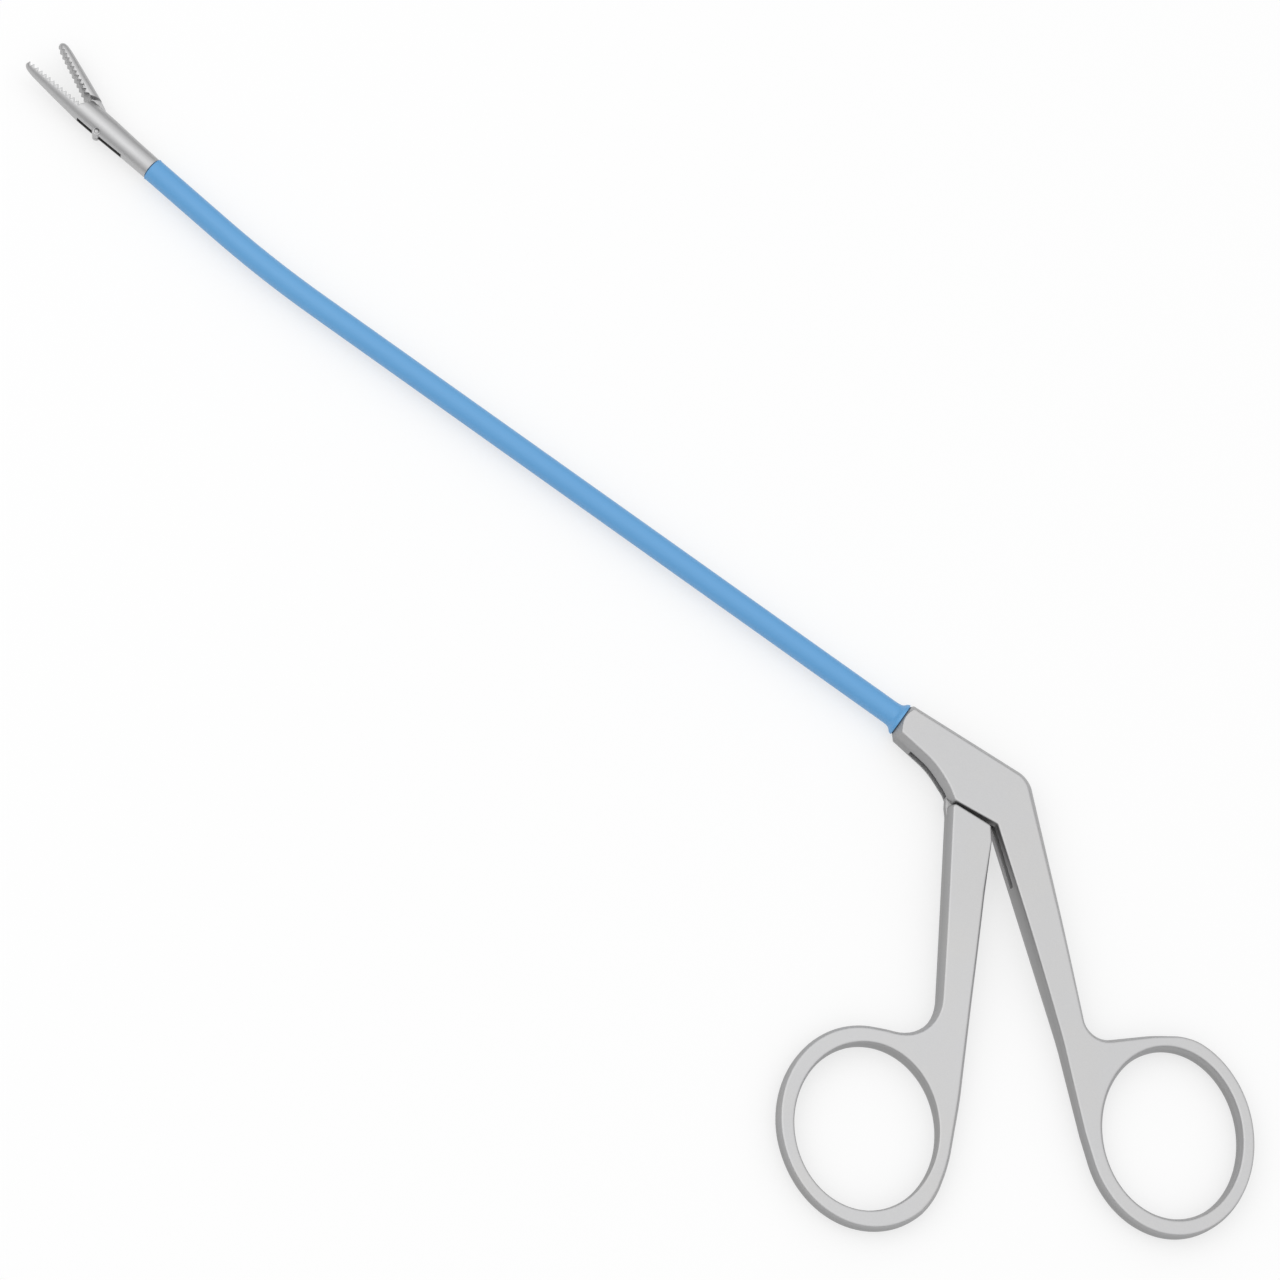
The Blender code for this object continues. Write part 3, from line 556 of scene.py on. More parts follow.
@dataclass
class Ring:
    """An oval finger ring.

    Attributes:
        centre: Centre of the oval.
        axes: Half axes.
        turn: Direction of the long axis, in degrees.
    """

    centre: tuple[float, float]
    axes: tuple[float, float]
    turn: float

    def loop(self, work: bmesh.types.BMesh, segments: int) -> list:
        """Draw the oval as a wire loop.

        Args:
            work: The bmesh.
            segments: Number of points.

        Returns:
            Its vertices, in order from the long axis.
        """
        made = bmesh.ops.create_circle(work, segments=segments, radius=1.0)["verts"]
        made.sort(key=lambda v: math.atan2(v.co.y, v.co.x) % (2 * math.pi))
        place = (Matrix.Translation((*self.centre, 0)) @ Matrix.Rotation(math.radians(self.turn), 4, "Z")
                 @ Matrix.Diagonal((*self.axes, 1, 1)))
        bmesh.ops.transform(work, matrix=place, verts=made)
        return made


Mark = tuple[float, float, float]


@dataclass
class Flank:
    """How a handle's sides stand out between its two faces.

    Attributes:
        marks: x, y and the amount at the waist, round the outline.
        inside: The same for the wall of the ring's opening.
        waist: How far above and below the mid-plane the sides stand out furthest.
        rim: Rounding of the edges of both faces.
        border: Strip of each face kept flat inside the rounding.
    """

    marks: list[Mark]
    inside: float = 0.25
    waist: float = 0.95
    rim: float = 0.27
    border: float = 0.06

    def amount(self, place: Vector) -> float:
        """Return how far the side stands out at a point of the outline."""
        weights = [1 / ((place.x - x) ** 2 + (place.y - y) ** 2 + 0.01) ** 2 for x, y, _ in self.marks]
        return sum(weight * mark[2] for weight, mark in zip(weights, self.marks)) / sum(weights)

    def levels(self) -> list[tuple[float, float, float]]:
        """List the steps of a side, from a face to the mid-plane.

        Returns:
            Inset, share of the waist and height above the mid-plane of each step.
        """
        rim, drop = self.rim, MID - self.waist
        steps = [(rim + self.border, 0.0, MID)]
        for k in range(4):
            turn = math.pi / 2 * k / 3
            fall = rim * (1 - math.cos(turn))
            steps.append((rim * (1 - math.sin(turn)), fall / drop, MID - fall))
        steps += [(0.0, 0.9, self.waist + 0.17 * drop), (0.0, 0.975, self.waist + 0.04 * drop)]
        return steps + [(0.0, 1.0, self.waist - 0.12), (0.0, 1.0, 0.0)]


@dataclass
class HandlePlate:
    """A forged handle: one outline that ends in a finger ring, with sides that slope out to a waist.

    Attributes:
        name: Name of the piece.
        outer: The ring's outside.
        hole: The ring's opening.
        first: Where the ring's outside begins, in degrees from its long axis.
        last: Where it ends, going anticlockwise.
        corners: The rest of the outline, anticlockwise from the ring's end, as x, y, radius.
        flank: How its sides stand out.
        ring_thick: Thickness at the far end of the ring.
        taper: Where the thinning begins and ends, measured from the drive pin towards the ring.
        segments: Points round the whole oval.
    """

    name: str
    outer: Ring
    hole: Ring
    first: float
    last: float
    corners: list[Mark]
    flank: Flank
    ring_thick: float = 3.6
    taper: tuple[float, float] = (18.0, 54.0)
    segments: int = 180

    def build(self) -> bpy.types.Object:
        """Draw the outline, round its corners, fill it and raise the sides.

        Returns:
            The handle.
        """
        work = bmesh.new()
        around = self.outer.loop(work, self.segments)
        step = 360.0 / self.segments
        begin = math.ceil(self.first / step)
        end = math.floor(self.last / step)
        kept = [around[k % self.segments] for k in range(begin, end + 1)]
        bmesh.ops.delete(work, geom=[v for v in around if v not in kept], context="VERTS")
        chain = [work.verts.new((x, y, 0)) for x, y, _ in self.corners]
        path = [kept[-1]] + chain + [kept[0]]
        for here, there in zip(path, path[1:]):
            work.edges.new((here, there))
        spots = [kept[-1].co.to_tuple()] + list(self.corners) + [kept[0].co.to_tuple()]
        reaches = [reach_of(*trio) for trio in zip(spots, spots[1:], spots[2:])]
        round_corners(work, chain, reaches)
        opening = set(self.hole.loop(work, self.segments))
        bmesh.ops.triangle_fill(work, edges=work.edges[:], use_beauty=True, normal=(0, 0, 1))
        self._raise_sides(work, opening)
        self._thin(work)
        return to_object(self.name, work, 40.0)

    def _raise_sides(self, work: bmesh.types.BMesh, opening: set) -> None:
        """Extrude the rims from the face to the mid-plane and mirror that half.

        Args:
            work: The bmesh, holding the flat face.
            opening: The vertices round the ring's opening.
        """
        edges = [e for e in work.edges if e.is_boundary]
        known: dict = {}
        for vert in dict.fromkeys(v for e in edges for v in e.verts):
            sides = [-e.calc_tangent(e.link_loops[0]) for e in vert.link_edges if e.is_boundary]
            way = (sides[0] + sides[1]) / max(0.5, 1 + sides[0].dot(sides[1]))
            amount = self.flank.inside if vert in opening else self.flank.amount(vert.co)
            known[vert] = (vert.co.copy(), way, amount)
        levels = self.flank.levels()
        self._move(known, levels[0])
        flat = [v for v in work.verts if v not in known]
        bmesh.ops.translate(work, vec=(0, 0, MID), verts=flat)
        for level in levels[1:]:
            made = bmesh.ops.extrude_edge_only(work, edges=edges)["geom"]
            edges = [g for g in made if isinstance(g, bmesh.types.BMEdge)]
            fresh = {}
            for vert in (g for g in made if isinstance(g, bmesh.types.BMVert)):
                source = next(e.other_vert(vert) for e in vert.link_edges if e.other_vert(vert) in known)
                fresh[vert] = known[source]
            known = fresh
            self._move(known, level)
        bmesh.ops.recalc_face_normals(work, faces=work.faces)
        bmesh.ops.mirror(work, geom=work.verts[:] + work.edges[:] + work.faces[:], axis="Z",
                         merge_dist=1e-4)
        bmesh.ops.translate(work, vec=(0, 0, MID), verts=work.verts)

    @staticmethod
    def _move(known: dict, level: tuple[float, float, float]) -> None:
        """Set the vertices of a rim to one level.

        Args:
            known: Place, outward direction and waist of each vertex.
            level: Inset, share of the waist and height.
        """
        inset, share, height = level
        for vert, (place, way, amount) in known.items():
            spot = place + way * (amount * share - inset)
            vert.co = (spot.x, spot.y, height)

    def _thin(self, work: bmesh.types.BMesh) -> None:
        """Lower the upper face towards the ring.

        Args:
            work: The bmesh.
        """
        way = Vector((*self.outer.centre, 0)).normalized()
        begin, end = self.taper
        for k in range(15):
            place = begin + (end - begin) * k / 14
            bmesh.ops.bisect_plane(work, geom=work.verts[:] + work.edges[:] + work.faces[:],
                                   plane_co=way * place, plane_no=way, dist=1e-4)
        for vert in work.verts:
            share = min(1.0, max(0.0, (way.dot(vert.co) - begin) / (end - begin)))
            vert.co.z *= 1 - (1 - self.ring_thick / PLATE) * share * share * (3 - 2 * share)


@dataclass
class RearHandle:
    """Body, rear shank and thumb ring, slotted by a disc cutter and bored for the shaft."""

    nose_x: float = -18.4
    nose_round: float = 2.45
    nose_cone: float = 1.25
    slot: float = 1.8
    slot_radius: float = 13.2
    slot_centre: tuple[float, float] = (-3.6, -11.0)
    bore: float = 1.3
    bore_end: float = -9.854
    pivot: tuple[float, float] = (-0.3127, -2.7825)
    pivot_hole: float = 1.03
    pivot_cover: float = 0.85
    nose_end: float = 110.0
    shade_low: tuple[float, float] = (-17.0, -25.0)
    shade_high: tuple[float, float] = (12.0, 2.35)
    plate: HandlePlate = field(default_factory=lambda: HandlePlate(
        "rear_handle_plate",
        Ring((49.1, -28.64), (15.0, 12.55), -50.8),
        Ring((49.2, -28.5), (12.95, 10.75), -51.3),
        -77.0, 150.0,
        [(43.6, -14.78, 7.0), (39.4, -17.95, 20.0), (31.8, -25.15, 3.9), (2.06, 2.95, 3.2),
         (-18.4, 1.72, 0.35), (-18.4, -2.31, 0.35), (-8.54, -3.59, 13.5), (-4.95, -6.4, 0.45),
         (2.3, -5.6, 0.5), (28.5, -27.05, 60.0), (38.6, -36.35, 0)],
        Flank([(-18.4, -2.3, 0.72), (-13.0, -3.0, 0.72), (-8.5, -4.2, 0.72), (-5.9, -5.7, 0.6),
               (-4.9, -6.5, 0.2), (-1.3, -6.0, 0.1), (2.3, -5.6, 0.0), (15.0, -16.0, 0.0),
               (28.5, -26.8, 0.3), (40.0, -38.0, 0.3), (62.0, -28.0, 0.2), (49.0, -14.0, 0.3),
               (49.0, -43.0, 0.3), (31.8, -25.15, 0.6), (17.0, -11.0, 0.85), (2.1, 3.0, 0.9),
               (-8.0, 2.3, 0.95), (-18.4, 1.7, 0.9)], 0.4)))

    def build(self) -> bpy.types.Object:
        """Build the plate, turn its nose and cut it.

        Returns:
            The rear handle.
        """
        body = self.plate.build()
        past = self.nose_x + self.nose_cone
        wide = 40 * self.nose_round
        edge = self.nose_round - 0.12
        cone = lathe("nose_cone", [
            (self.nose_x, 0.0), (self.nose_x, edge), (self.nose_x + 0.06, edge + 0.1),
            (past, self.nose_round + self.nose_cone), (past + 0.05, wide), (self.nose_end, wide),
            (self.nose_end, 0.0)], 96)
        cone.data.transform(Matrix.Translation((0, 0, MID * MM)))
        boolean(body, cone, "INTERSECT")
        low, high = MID - self.slot / 2, MID + self.slot / 2
        drill(body, self.slot_radius, (*self.slot_centre, low), (*self.slot_centre, high), DISC_FACETS)
        drill(body, self.bore, (self.nose_x - OVERSHOOT, 0, MID), (self.bore_end, 0, MID), HOLE_FACETS)
        top = PLATE - self.pivot_cover
        drill(body, self.pivot_hole, (*self.pivot, -OVERSHOOT), (*self.pivot, top), HOLE_FACETS)
        shade(body, 32.0)
        return body

    def slit(self) -> Slit:
        """Describe the disc cutter's room, whose walls get painted shade.

        Returns:
            The slit.
        """
        level = Matrix.Translation((0, 0, MID * MM))
        disc = (*self.slot_centre, self.slot_radius)
        return Slit(level, self.slot / 2, self.shade_low, self.shade_high, disc)


@dataclass
class FrontHandle:
    """Moving handle with its finger ring and the tongue that drives the rod."""

    tongue: float = 1.5
    lobe: float = 1.3
    pivot: tuple[float, float] = (-0.3127, -2.7825)
    pivot_hole: float = 1.06
    drive_hole: float = 0.54
    gap_half: float = 0.5
    plate: HandlePlate = field(default_factory=lambda: HandlePlate(
        "front_handle_plate",
        Ring((11.78, -54.85), (14.7, 12.68), -43.6),
        Ring((11.65, -54.83), (12.4, 10.77), -53.0),
        -198.3, 25.0,
        [(25.5, -57.6, 10.0), (24.3, -52.2, 20.0), (20.4, -43.4, 60.0), (13.55, -29.95, 0),
         (6.15, -15.2, 30.0), (3.05, -8.3, 0.7), (1.6, -6.36, 0.5), (-4.97, -6.8, 0.5),
         (13.92, -38.7, 5.85), (6.4, -41.4, 20.0)],
        Flank([(-5.1, -7.1, 0.65), (-4.3, -6.75, 0.1), (-4.0, -8.6, 0.75), (4.0, -22.0, 0.7),
               (12.0, -36.0, 0.6), (-1.0, -55.0, 0.45), (12.0, -69.0, 0.3), (25.0, -55.0, 0.4),
               (17.0, -38.0, 0.45), (13.9, -30.0, 0.45), (6.4, -15.2, 0.45), (3.05, -8.3, 0.0),
               (1.6, -6.35, 0.0), (-1.6, -6.8, 0.05)], 0.2)))

    def build(self) -> bpy.types.Object:
        """Build the plate, join the tongue and cut its holes.

        Returns:
            The front handle.
        """
        handle = self.plate.build()
        lobe = self.lobe
        outline = [(-3.9, -9.3, 0), (1.6, -9.2, 0), (1.55, -5.0, 0.4), (lobe, lobe, lobe - 0.02),
                   (-lobe, lobe, lobe - 0.02), (-2.1, -3.2, 0.5), (-6.4, -5.85, 0.4), (-5.5, -7.4, 0)]
        half = self.tongue / 2
        boolean(handle, prism("tongue", outline, MID - half, MID + half), "UNION")
        top = PLATE + OVERSHOOT
        drill(handle, self.pivot_hole, (*self.pivot, -OVERSHOOT), (*self.pivot, top), HOLE_FACETS)
        gap = [(-3, -1.2, 0), (1.2, -1.2, 0.3), (4, 3, 0), (-3, 3, 0)]
        boolean(handle, prism("gap", gap, MID - self.gap_half, MID + self.gap_half), "DIFFERENCE")
        drill(handle, self.drive_hole, (0, 0, -OVERSHOOT), (0, 0, top), PIN_FACETS)
        shade(handle, 32.0)
        return handle


@dataclass
class Shaft:
    """The shaft's line: straight, bent gently near the tip, then straight again."""

    bend_start: float = -127.2
    bend_radius: float = 180.0
    bend: float = math.radians(6.0)
    run: float = 14.2

    def bend_centre(self) -> Vector:
        """Return the centre the bend turns about."""
        return Vector((self.bend_start, self.bend_radius, MID))

    def ahead(self) -> Vector:
        """Return the direction in which the tip points."""
        return Vector((-math.cos(self.bend), math.sin(self.bend), 0))

    def tip(self) -> Vector:
        """Return the point where the insulation ends, the origin of the tip's own frame."""
        turned = Matrix.Rotation(-self.bend, 4, "Z") @ Vector((0, -self.bend_radius, 0))
        return self.bend_centre() + turned + self.ahead() * self.run

    def tip_frame(self) -> Matrix:
        """Return the transform from the tip's own frame, in millimetres."""
        return Matrix.Translation(self.tip()) @ Matrix.Rotation(-self.bend, 4, "Z")


@dataclass
class Insulation:
    """Blue polymer tube shrunk over the shaft, with a flared mouth against the handle's nose."""

    shaft: Shaft
    start: float = -18.46
    radius: float = 1.57
    wall: float = 0.27
    mouth: tuple[float, float] = (2.36, 2.36)
    flare: tuple[tuple[float, float], ...] = (
        (0.0, 0.97), (0.1, 1.0), (0.25, 0.9), (0.45, 0.62), (0.7, 0.34), (1.0, 0.15), (1.4, 0.04),
        (2.0, 0.0))

    def build(self) -> bpy.types.Object:
        """Extrude a circle through the flare, along the shaft, round the bend and to the tip.

        Returns:
            The insulation.
        """
        work = bmesh.new()
        ring = bmesh.ops.create_circle(work, segments=72, radius=1.0)["verts"]
        bmesh.ops.rotate(work, cent=(0, 0, 0), matrix=Matrix.Rotation(math.pi / 2, 3, "Y"), verts=ring)
        edges = work.edges[:]
        before = None
        for along, share in self.flare:
            wide, high = (self.radius + (mouth - self.radius) * share for mouth in self.mouth)
            if before is not None:
                edges = self._push(work, edges, Vector((-(along - before[0]), 0, 0)))
            last = before[1:] if before is not None else (1.0, 1.0)
            verts = list(dict.fromkeys(v for e in edges for v in e.verts))
            bmesh.ops.scale(work, vec=(1, wide / last[0], high / last[1]), verts=verts)
            before = (along, wide, high)
        bmesh.ops.translate(work, vec=(self.start, 0, MID), verts=work.verts)
        run = self.start - before[0] - self.shaft.bend_start
        for _ in range(6):
            edges = self._push(work, edges, Vector((-run / 6, 0, 0)))
        spun = bmesh.ops.spin(work, geom=edges, cent=self.shaft.bend_centre(), axis=(0, 0, 1),
                              angle=-self.shaft.bend, steps=24, use_merge=False, use_normal_flip=False)
        edges = [e for e in spun["geom_last"] if isinstance(e, bmesh.types.BMEdge)]
        edges = self._push(work, edges, self.shaft.ahead() * (self.shaft.run - 0.5))
        for forward, grow in ((0.25, 1.02), (0.2, 1.03)):
            edges = self._push(work, edges, self.shaft.ahead() * forward)
            verts = list(dict.fromkeys(v for e in edges for v in e.verts))
            centre = sum((v.co for v in verts), Vector()) / len(verts)
            bmesh.ops.scale(work, vec=(grow, grow, grow), space=Matrix.Translation(-centre), verts=verts)
        bmesh.ops.recalc_face_normals(work, faces=work.faces)
        made = to_object("blue_insulation_tube", work, 60.0)
        skin = made.modifiers.new("wall", "SOLIDIFY")
        skin.thickness = self.wall * MM
        skin.offset = -1.0
        settle(made)
        shade(made, 50.0)
        return made

    @staticmethod
    def _push(work: bmesh.types.BMesh, edges: list, step: Vector) -> list:
        """Extrude an edge loop along a step.

        Args:
            work: The bmesh.
            edges: The loop.
            step: The move.

        Returns:
            The loop at the far end.
        """
        made = bmesh.ops.extrude_edge_only(work, edges=edges)["geom"]
        bmesh.ops.translate(work, vec=step, verts=[g for g in made if isinstance(g, bmesh.types.BMVert)])
        return [g for g in made if isinstance(g, bmesh.types.BMEdge) and len(g.link_faces) == 1]


@dataclass
class Head:
    """The tip: jaw sleeve with its fixed jaw, the moving jaw and their pin.

    Points are given as distance ahead of the insulation's end and height towards the moving jaw.
    """

    shaft: Shaft
    front: float = 13.9
    end: float = 25.87
    pivot: tuple[float, float] = (10.0, -1.67099)
    swing: float = math.radians(21.2)
    arm: float = 1.7
    boss: float = 0.64
    boss_half: float = 1.14
    tang_rim: float = 0.58
    pin: float = 0.35
    pin_half: float = 1.13
    rod_hole: float = 0.36
    bore: float = 1.3
    slit: float = 1.1
    slit_rear: float = 4.85
    window: tuple[float, float] = (9.0, 15.6)
    wide: float = 4.0
    tang: float = 0.9
    teeth: int = 13
    pitch: float = 0.832
    tooth: float = 0.58
    tip_line: float = -0.2
    tooth_start: float = 15.14
    bite_gap: float = 0.09
    upper_flat: float = 0.7

    def profile(self) -> list[tuple[float, float]]:
        """Return the outer profile, as distance ahead and radius."""
        end = self.end
        return [(0.0, 1.64), (0.08, 1.73), (0.22, 1.77), (4.2, 1.82), (9.0, 1.97), (self.front + 0.2, 2.0),
                (end - 6.9, 1.72), (end - 2.3, 1.38), (end - 1.1, 1.18), (end - 0.72, 1.05),
                (end - 0.4, 0.83), (end - 0.15, 0.52), (end - 0.04, 0.28), (end, 0.0)]

    def turned(self, name: str, profile: list[tuple[float, float]]) -> bpy.types.Object:
        """Return a solid turned from distance ahead and radius, in the tip's own frame."""
        return lathe(name, [(-ahead, radius) for ahead, radius in profile], 72)

    def bite(self, name: str, start: list[tuple[float, float]], first: float, count: int, tip: float,
             root: float) -> bpy.types.Object:
        """Make the solid on one side of a row of teeth.

        Args:
            name: Name of the solid.
            start: Points behind the first tooth.
            first: Distance ahead of the first tooth's tip.
            count: Number of teeth.
            tip: Height of the tips.
            root: Height of the roots.

        Returns:
            The solid, in the tip's own frame.
        """
        line = list(start)
        for k in range(count):
            middle = first + self.pitch * k
            line.append((middle - self.pitch / 2, root))
            line.append((middle - 0.03, tip))
            line.append((middle + 0.03, tip))
        line += [(first + self.pitch * (count - 0.5), root), (self.end + OVERSHOOT, root),
                 (self.end + OVERSHOOT, self.wide)]
        return self.box(name, line, self.wide)

    def box(self, name: str, points: list[tuple[float, float]], half: float) -> bpy.types.Object:
        """Extrude an outline of the tip's side view.

        Args:
            name: Name of the solid.
            points: Distance ahead and height of each corner.
            half: Half width.

        Returns:
            The solid, in the tip's own frame.
        """
        return prism(name, [(-a, u, 0.0) for a, u in reversed(points)], -half, half)

    def sleeve(self) -> bpy.types.Object:
        """Build the slit sleeve with its bosses and fixed toothed jaw.

        Returns:
            The sleeve in the part's frame.
        """
        x, y = self.pivot
        made = self.turned("jaw_sleeve_and_fixed_jaw", self.profile())
        half = self.boss_half
        boolean(made, bar("boss", self.boss, (-x, y, -half), (-x, y, half), HOLE_FACETS, 0.12), "UNION")
        drill(made, self.bore, (OVERSHOOT, 0, 0), (-self.front + 1.0, 0, 0), HOLE_FACETS)
        root = self.tip_line - self.tooth
        start = [(self.front, self.wide), (self.front, 1.0), (self.front + 0.7, -0.35)]
        bite = self.bite("bite", start, self.tooth_start, self.teeth, self.tip_line, root)
        boolean(made, bite, "DIFFERENCE")
        rear, front = self.slit_rear, self.front - 0.1
        low = [(rear, -self.wide), (rear, 0), (front, 0), (front, -self.wide)]
        boolean(made, self.box("low_slit", low, self.slit / 2), "DIFFERENCE")
        rear, front = self.window
        high = [(rear, -0.3), (rear, self.wide), (front, self.wide), (front, -0.3)]
        boolean(made, self.box("high_slit", high, self.slit / 2), "DIFFERENCE")
        drill(made, self.pin + 0.03, (-x, y, -3), (-x, y, 3), PIN_FACETS)
        return self._finish(made)

    def moving_jaw(self) -> bpy.types.Object:
        """Build the moving jaw shut, so that its teeth mesh, then swing it open.

        Returns:
            The jaw in the part's frame.
        """
        x, y = self.pivot
        rod = (x + self.arm * math.sin(self.swing / 2), y + self.arm * math.cos(self.swing / 2))
        made = self.turned("moving_jaw", [(self.front + 0.2, 0.0)] + self.profile()[5:])
        made.data.transform(Matrix.Diagonal((1, self.upper_flat, 1, 1)))
        tip = self.tip_line - self.tooth + self.bite_gap
        root = tip + self.tooth
        heel = self.front + 0.55
        start = [(heel, self.wide), (heel, 1.35), (heel + 1.05, root + 0.05)]
        first = self.tooth_start + 1.5 * self.pitch
        boolean(made, self.bite("bite", start, first, self.teeth - 1, tip, root), "INTERSECT")
        k = self.tang_rim
        outline = [(x - k, y - k, k - 0.02), (x + k, y - k, k - 0.02), (heel - 0.8, 0.0, 0.3),
                   (heel + 2.0, 0.1, 0), (heel + 2.0, 0.7, 0), (heel + 0.15, 1.3, 0.2),
                   (heel - 1.6, 1.25, 0.3), (rod[0] + 0.35, rod[1] + 0.58, 0.3),
                   (rod[0] - 0.58, rod[1] + 0.58, 0.5), (rod[0] - 0.58, rod[1] - 0.5, 0.2),
                   (x - k, y + 0.5, 0.2)]
        corners = [(-a, u, r) for a, u, r in reversed(outline)]
        boolean(made, prism("tang", corners, -self.tang / 2, self.tang / 2), "UNION")
        drill(made, self.pin + 0.06, (-x, y, -3), (-x, y, 3), PIN_FACETS)
        drill(made, self.rod_hole, (-rod[0], rod[1], -3), (-rod[0], rod[1], 3), 28)
        centre = Matrix.Translation(Vector((-x, y, 0)) * MM)
        made.data.transform(centre @ Matrix.Rotation(-self.swing, 4, "Z") @ centre.inverted())
        return self._finish(made)

    def pivot_pin(self) -> bpy.types.Object:
        """Build the riveted jaw pin.

        Returns:
            The pin in the part's frame.
        """
        x, y = self.pivot
        half = self.pin_half
        made = bar("jaw_pin", self.pin, (-x, y, -half), (-x, y, half), HOLE_FACETS, 0.08)
        self._place(made)
        shade(made, 40.0)
        return made

    def _finish(self, made: bpy.types.Object) -> bpy.types.Object:
        """Break the sharp edges of a head piece and put it in place.

        Args:
            made: The piece, in the tip's own frame.

        Returns:
            The piece in the part's frame.
        """
        soften(made, 0.035, 38.0)
        self._place(made)
        shade(made, 32.0)
        return made

    def frame(self) -> Matrix:
        """Return the transform from the tip's own frame, for meshes in metres.

        Returns:
            The transform.
        """
        made = self.shaft.tip_frame()
        made.translation = made.translation * MM
        return made

    def slit_walls(self) -> Slit:
        """Return the low slit's room, whose walls get painted shade."""
        return Slit(self.frame(), self.slit / 2, (-self.front, -2.0), (-4.8, -0.5))

    def _place(self, made: bpy.types.Object) -> None:
        """Carry a piece from the tip's own frame to the part's frame."""
        made.data.transform(self.frame())


class Fitter:
    """Hangs finished pieces on the frame's bodies and logs them."""

    def __init__(self, workshop: Workshop) -> None:
        """Keep the workshop that gives the materials.

        Args:
            workshop: The workshop.
        """
        self.workshop = workshop

    def fit(self, piece: bpy.types.Object, body: str, node: str, finish: Finish,
            turn: float = 0.0) -> None:
        """Dress a piece, ride it on a body and let it stand for a node.

        Args:
            piece: The finished piece.
            body: The body it rides on.
            node: The node it stands for.
            finish: Its finish.
            turn: Direction of drawn grain, in degrees.
        """
        piece.data.materials.clear()
        piece.data.materials.append(self.workshop.material(finish, turn))
        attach(piece, body)
        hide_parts(node)
        LOG.info("%s rides on %s: %d faces", piece.name, body, len(piece.data.polygons))

    def paint_slit_shade(self, piece: bpy.types.Object, slit: Slit) -> None:
        """Paint shade on the walls of a cut by giving them a dark material.

        Args:
            piece: The fitted piece.
            slit: The cut.
        """
        # Painted shade: the slit walls get the dark material.
        piece.data.materials.append(self.workshop.material(SLIT_SHADE_STEEL))
        found = [face for face in piece.data.polygons if slit.holds(face)]
        for face in found:
            face.material_index = 1
        LOG.info("%s has %d dark cut faces", piece.name, len(found))

    def dress(self, node: bpy.types.Object, finish: Finish) -> None:
        """Give a carried-over node its finish.

        Args:
            node: The node's object.
            finish: Its finish.
        """
        for spot in node.material_slots:
            spot.material = self.workshop.material(finish)
        LOG.info("%s dressed with %s", node.name, finish.name)


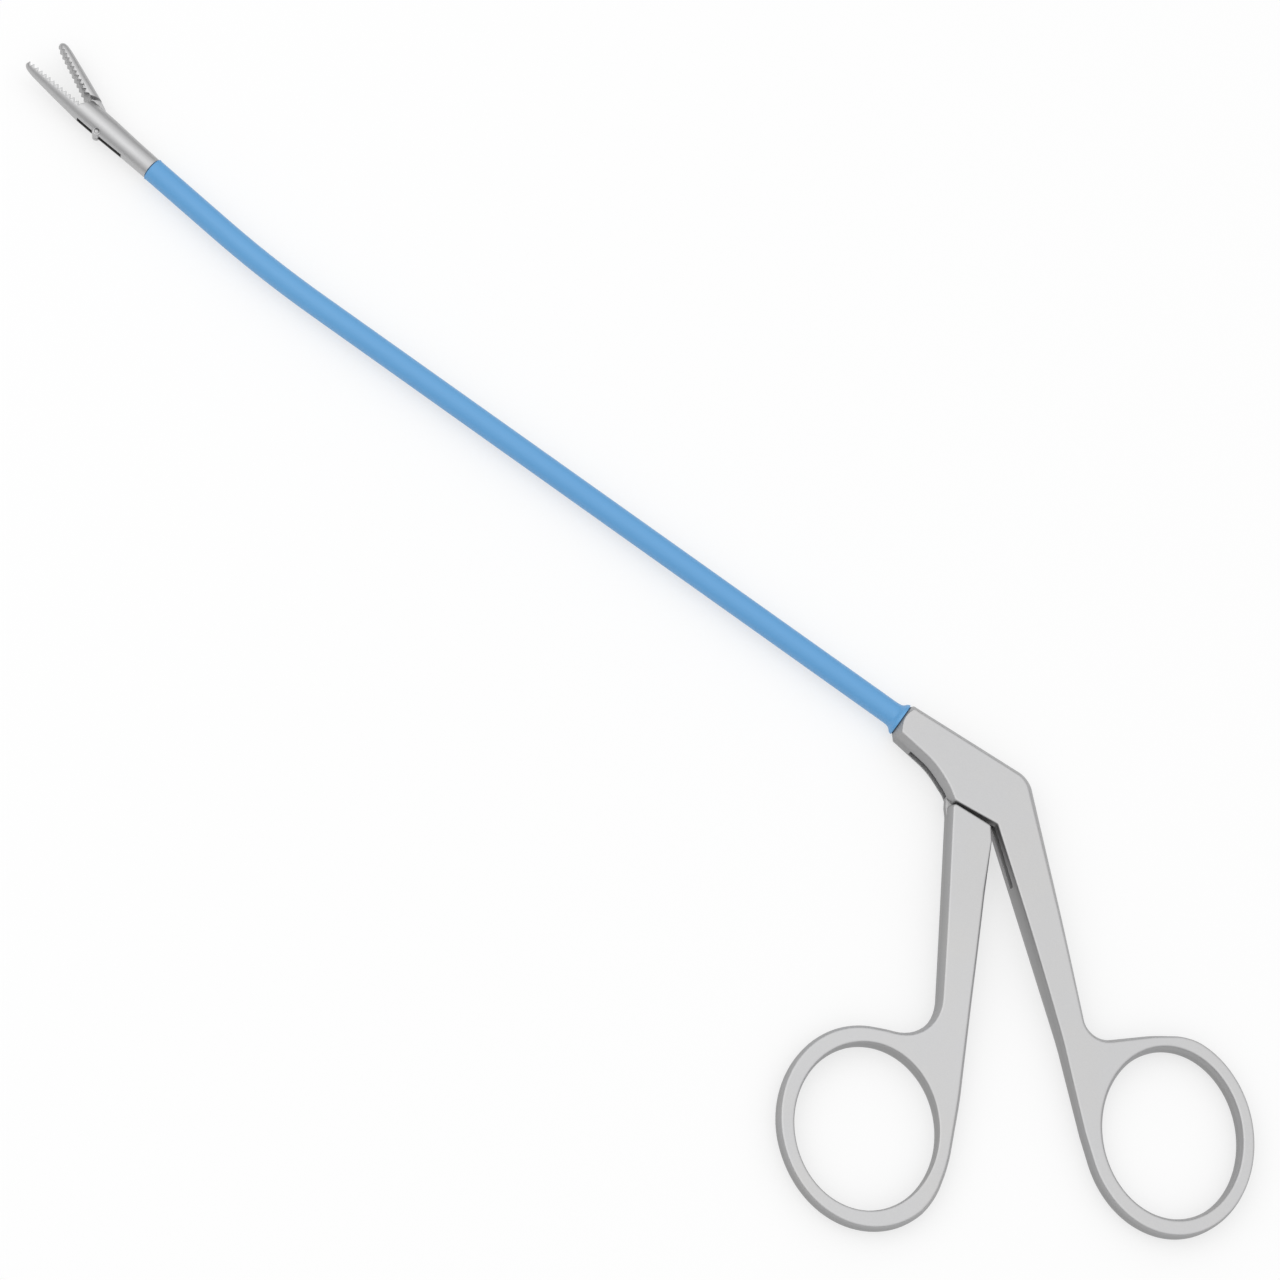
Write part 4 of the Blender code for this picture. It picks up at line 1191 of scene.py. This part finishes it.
@dataclass
class Studio:
    """Pale floor, soft light and the camera."""

    eye: tuple[float, float, float] = (-23.170, -216.205, 566.554)
    right: tuple[float, float, float] = (0.812983, 0.56191, 0.152697)
    up: tuple[float, float, float] = (-0.579523, 0.755285, 0.306099)
    lens: float = 112.5
    whiteness: float = 0.6
    horizon: float = 0.25
    zenith: float = 1.35

    def camera(self) -> None:
        """Set the camera where the photograph was taken from."""
        right, up = Vector(self.right).normalized(), Vector(self.up).normalized()
        back = right.cross(up)
        made = bpy.data.objects.new("camera", bpy.data.cameras.new("camera"))
        bpy.context.scene.collection.objects.link(made)
        turn = Matrix((right, up, back)).transposed().to_4x4()
        made.matrix_world = Matrix.Translation(Vector(self.eye) * MM) @ turn
        made.data.sensor_width = 36.0
        made.data.lens = self.lens
        made.data.clip_start = 0.01
        bpy.context.scene.camera = made

    def lamp(self, name: str, place: tuple[float, float, float], aim: tuple[float, float, float],
             size: float, power: float) -> None:
        """Hang one soft square lamp.

        Args:
            name: Name of the lamp.
            place: Where it hangs, in metres.
            aim: What it points at, in metres.
            size: Its side, in metres.
            power: Its power, in watts.
        """
        light = bpy.data.lights.new(name, "AREA")
        light.size = size
        light.energy = power
        made = bpy.data.objects.new(name, light)
        made.location = place
        made.rotation_euler = (Vector(aim) - Vector(place)).to_track_quat("-Z", "Y").to_euler()
        bpy.context.scene.collection.objects.link(made)

    def world(self) -> None:
        """Make a soft sky, brighter overhead than at the horizon."""
        made = bpy.data.worlds.new("studio_sky")
        made.use_nodes = True
        tree = made.node_tree
        sky = tree.nodes["Background"]
        sky.inputs["Color"].default_value = (1.0, 1.0, 1.0, 1.0)
        place = add_node(tree, "TexCoord")
        split = add_node(tree, "SeparateXYZ", {"Vector": place.outputs["Generated"]})
        ramp = add_node(tree, "MapRange", {"Value": split.outputs["Z"], "To Min": self.horizon,
                                           "To Max": self.zenith})
        tree.links.new(ramp.outputs["Result"], sky.inputs["Strength"])
        bpy.context.scene.world = made

    def floor(self) -> None:
        """Lay the pale floor under the part."""
        work = bmesh.new()
        bmesh.ops.create_grid(work, x_segments=1, y_segments=1, size=FLOOR_HALF)
        floor = to_object("studio_floor", work)
        made = bpy.data.materials.new("pale_floor")
        made.use_nodes = True
        shader = made.node_tree.nodes["Principled BSDF"]
        shader.inputs["Base Color"].default_value = (0.92, 0.92, 0.92, 1.0)
        shader.inputs["Roughness"].default_value = 0.9
        shader.inputs["Specular IOR Level"].default_value = 0.0
        self._whiten(made, shader)
        floor.data.materials.append(made)
        floor.location.z = -FLOOR_DROP * MM

    def _whiten(self, made: bpy.types.Material, shader: bpy.types.ShaderNode) -> None:
        """Let camera, glossy and transmission rays see the floor nearer to white, shadow kept.

        Args:
            made: The floor's material.
            shader: Its Principled shader.
        """
        tree = made.node_tree
        rays = add_node(tree, "LightPath")
        seen = rays.outputs["Is Camera Ray"]
        for kind in ("Is Glossy Ray", "Is Transmission Ray"):
            either = add_node(tree, "Math", {0: seen, 1: rays.outputs[kind]}, operation="MAXIMUM")
            seen = either.outputs["Value"]
        share = add_node(tree, "Math", {0: seen, 1: self.whiteness}, operation="MULTIPLY")
        white = add_node(tree, "Emission")
        blend = add_node(tree, "MixShader", {"Fac": share.outputs["Value"], 1: shader.outputs["BSDF"],
                                             2: white.outputs["Emission"]})
        tree.links.new(blend.outputs["Shader"], tree.nodes["Material Output"].inputs["Surface"])

    def build(self) -> None:
        """Set up everything round the part."""
        bpy.context.scene.view_settings.view_transform = "Standard"
        self.camera()
        self.world()
        self.floor()
        self.lamp("side_lamp", (-0.62, -0.12, 0.75), (-0.05, -0.03, 0.0), 0.7, 1.0)


def main(frame: dict) -> None:
    """Build, dress and hang every piece.
    """
    logging.basicConfig(level=logging.INFO, format="%(name)s: %(message)s")
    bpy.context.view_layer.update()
    Studio().build()
    workshop = Workshop()
    fitter = Fitter(workshop)
    shaft = Shaft()
    head = Head(shaft)
    turn = math.degrees(shaft.bend)
    rear = RearHandle()
    body = rear.build()
    fitter.fit(body, "handle_frame", "rear_handle", SATIN)
    # Painted shade on the disc cutter's slit walls.
    fitter.paint_slit_shade(body, rear.slit())
    fitter.fit(FrontHandle().build(), "front_lever", "front_handle", SATIN)
    fitter.fit(Insulation(shaft).build(), "handle_frame", "insulation_sleeve", BLUE)
    sleeve = head.sleeve()
    fitter.fit(sleeve, "handle_frame", "jaw_sleeve", SLEEVE_STEEL, turn)
    # Painted shade on the low slit's walls.
    fitter.paint_slit_shade(sleeve, head.slit_walls())
    fitter.fit(head.moving_jaw(), "moving_jaw", "upper_jaw", SLEEVE_STEEL, turn)
    fitter.fit(head.pivot_pin(), "handle_frame", "jaw_pivot_pin", PIN_STEEL)
    carried: dict[str, Finish] = {
        "handle_pivot_pin": PIN_STEEL, "drive_pin": PIN_STEEL, "fork_pin": PIN_STEEL,
        "rod_end_eye": PIN_STEEL, "rod_fork": PIN_STEEL, "drive_rod": PIN_STEEL,
        "shaft_tube": SLEEVE_STEEL, "liner_tube": WHITE, "nose_bush": WHITE, "distal_guide_bush": WHITE}
    for name, finish in carried.items():
        fitter.dress(frame["nodes"][name], finish)


if __name__ == "__main__":
    main(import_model())
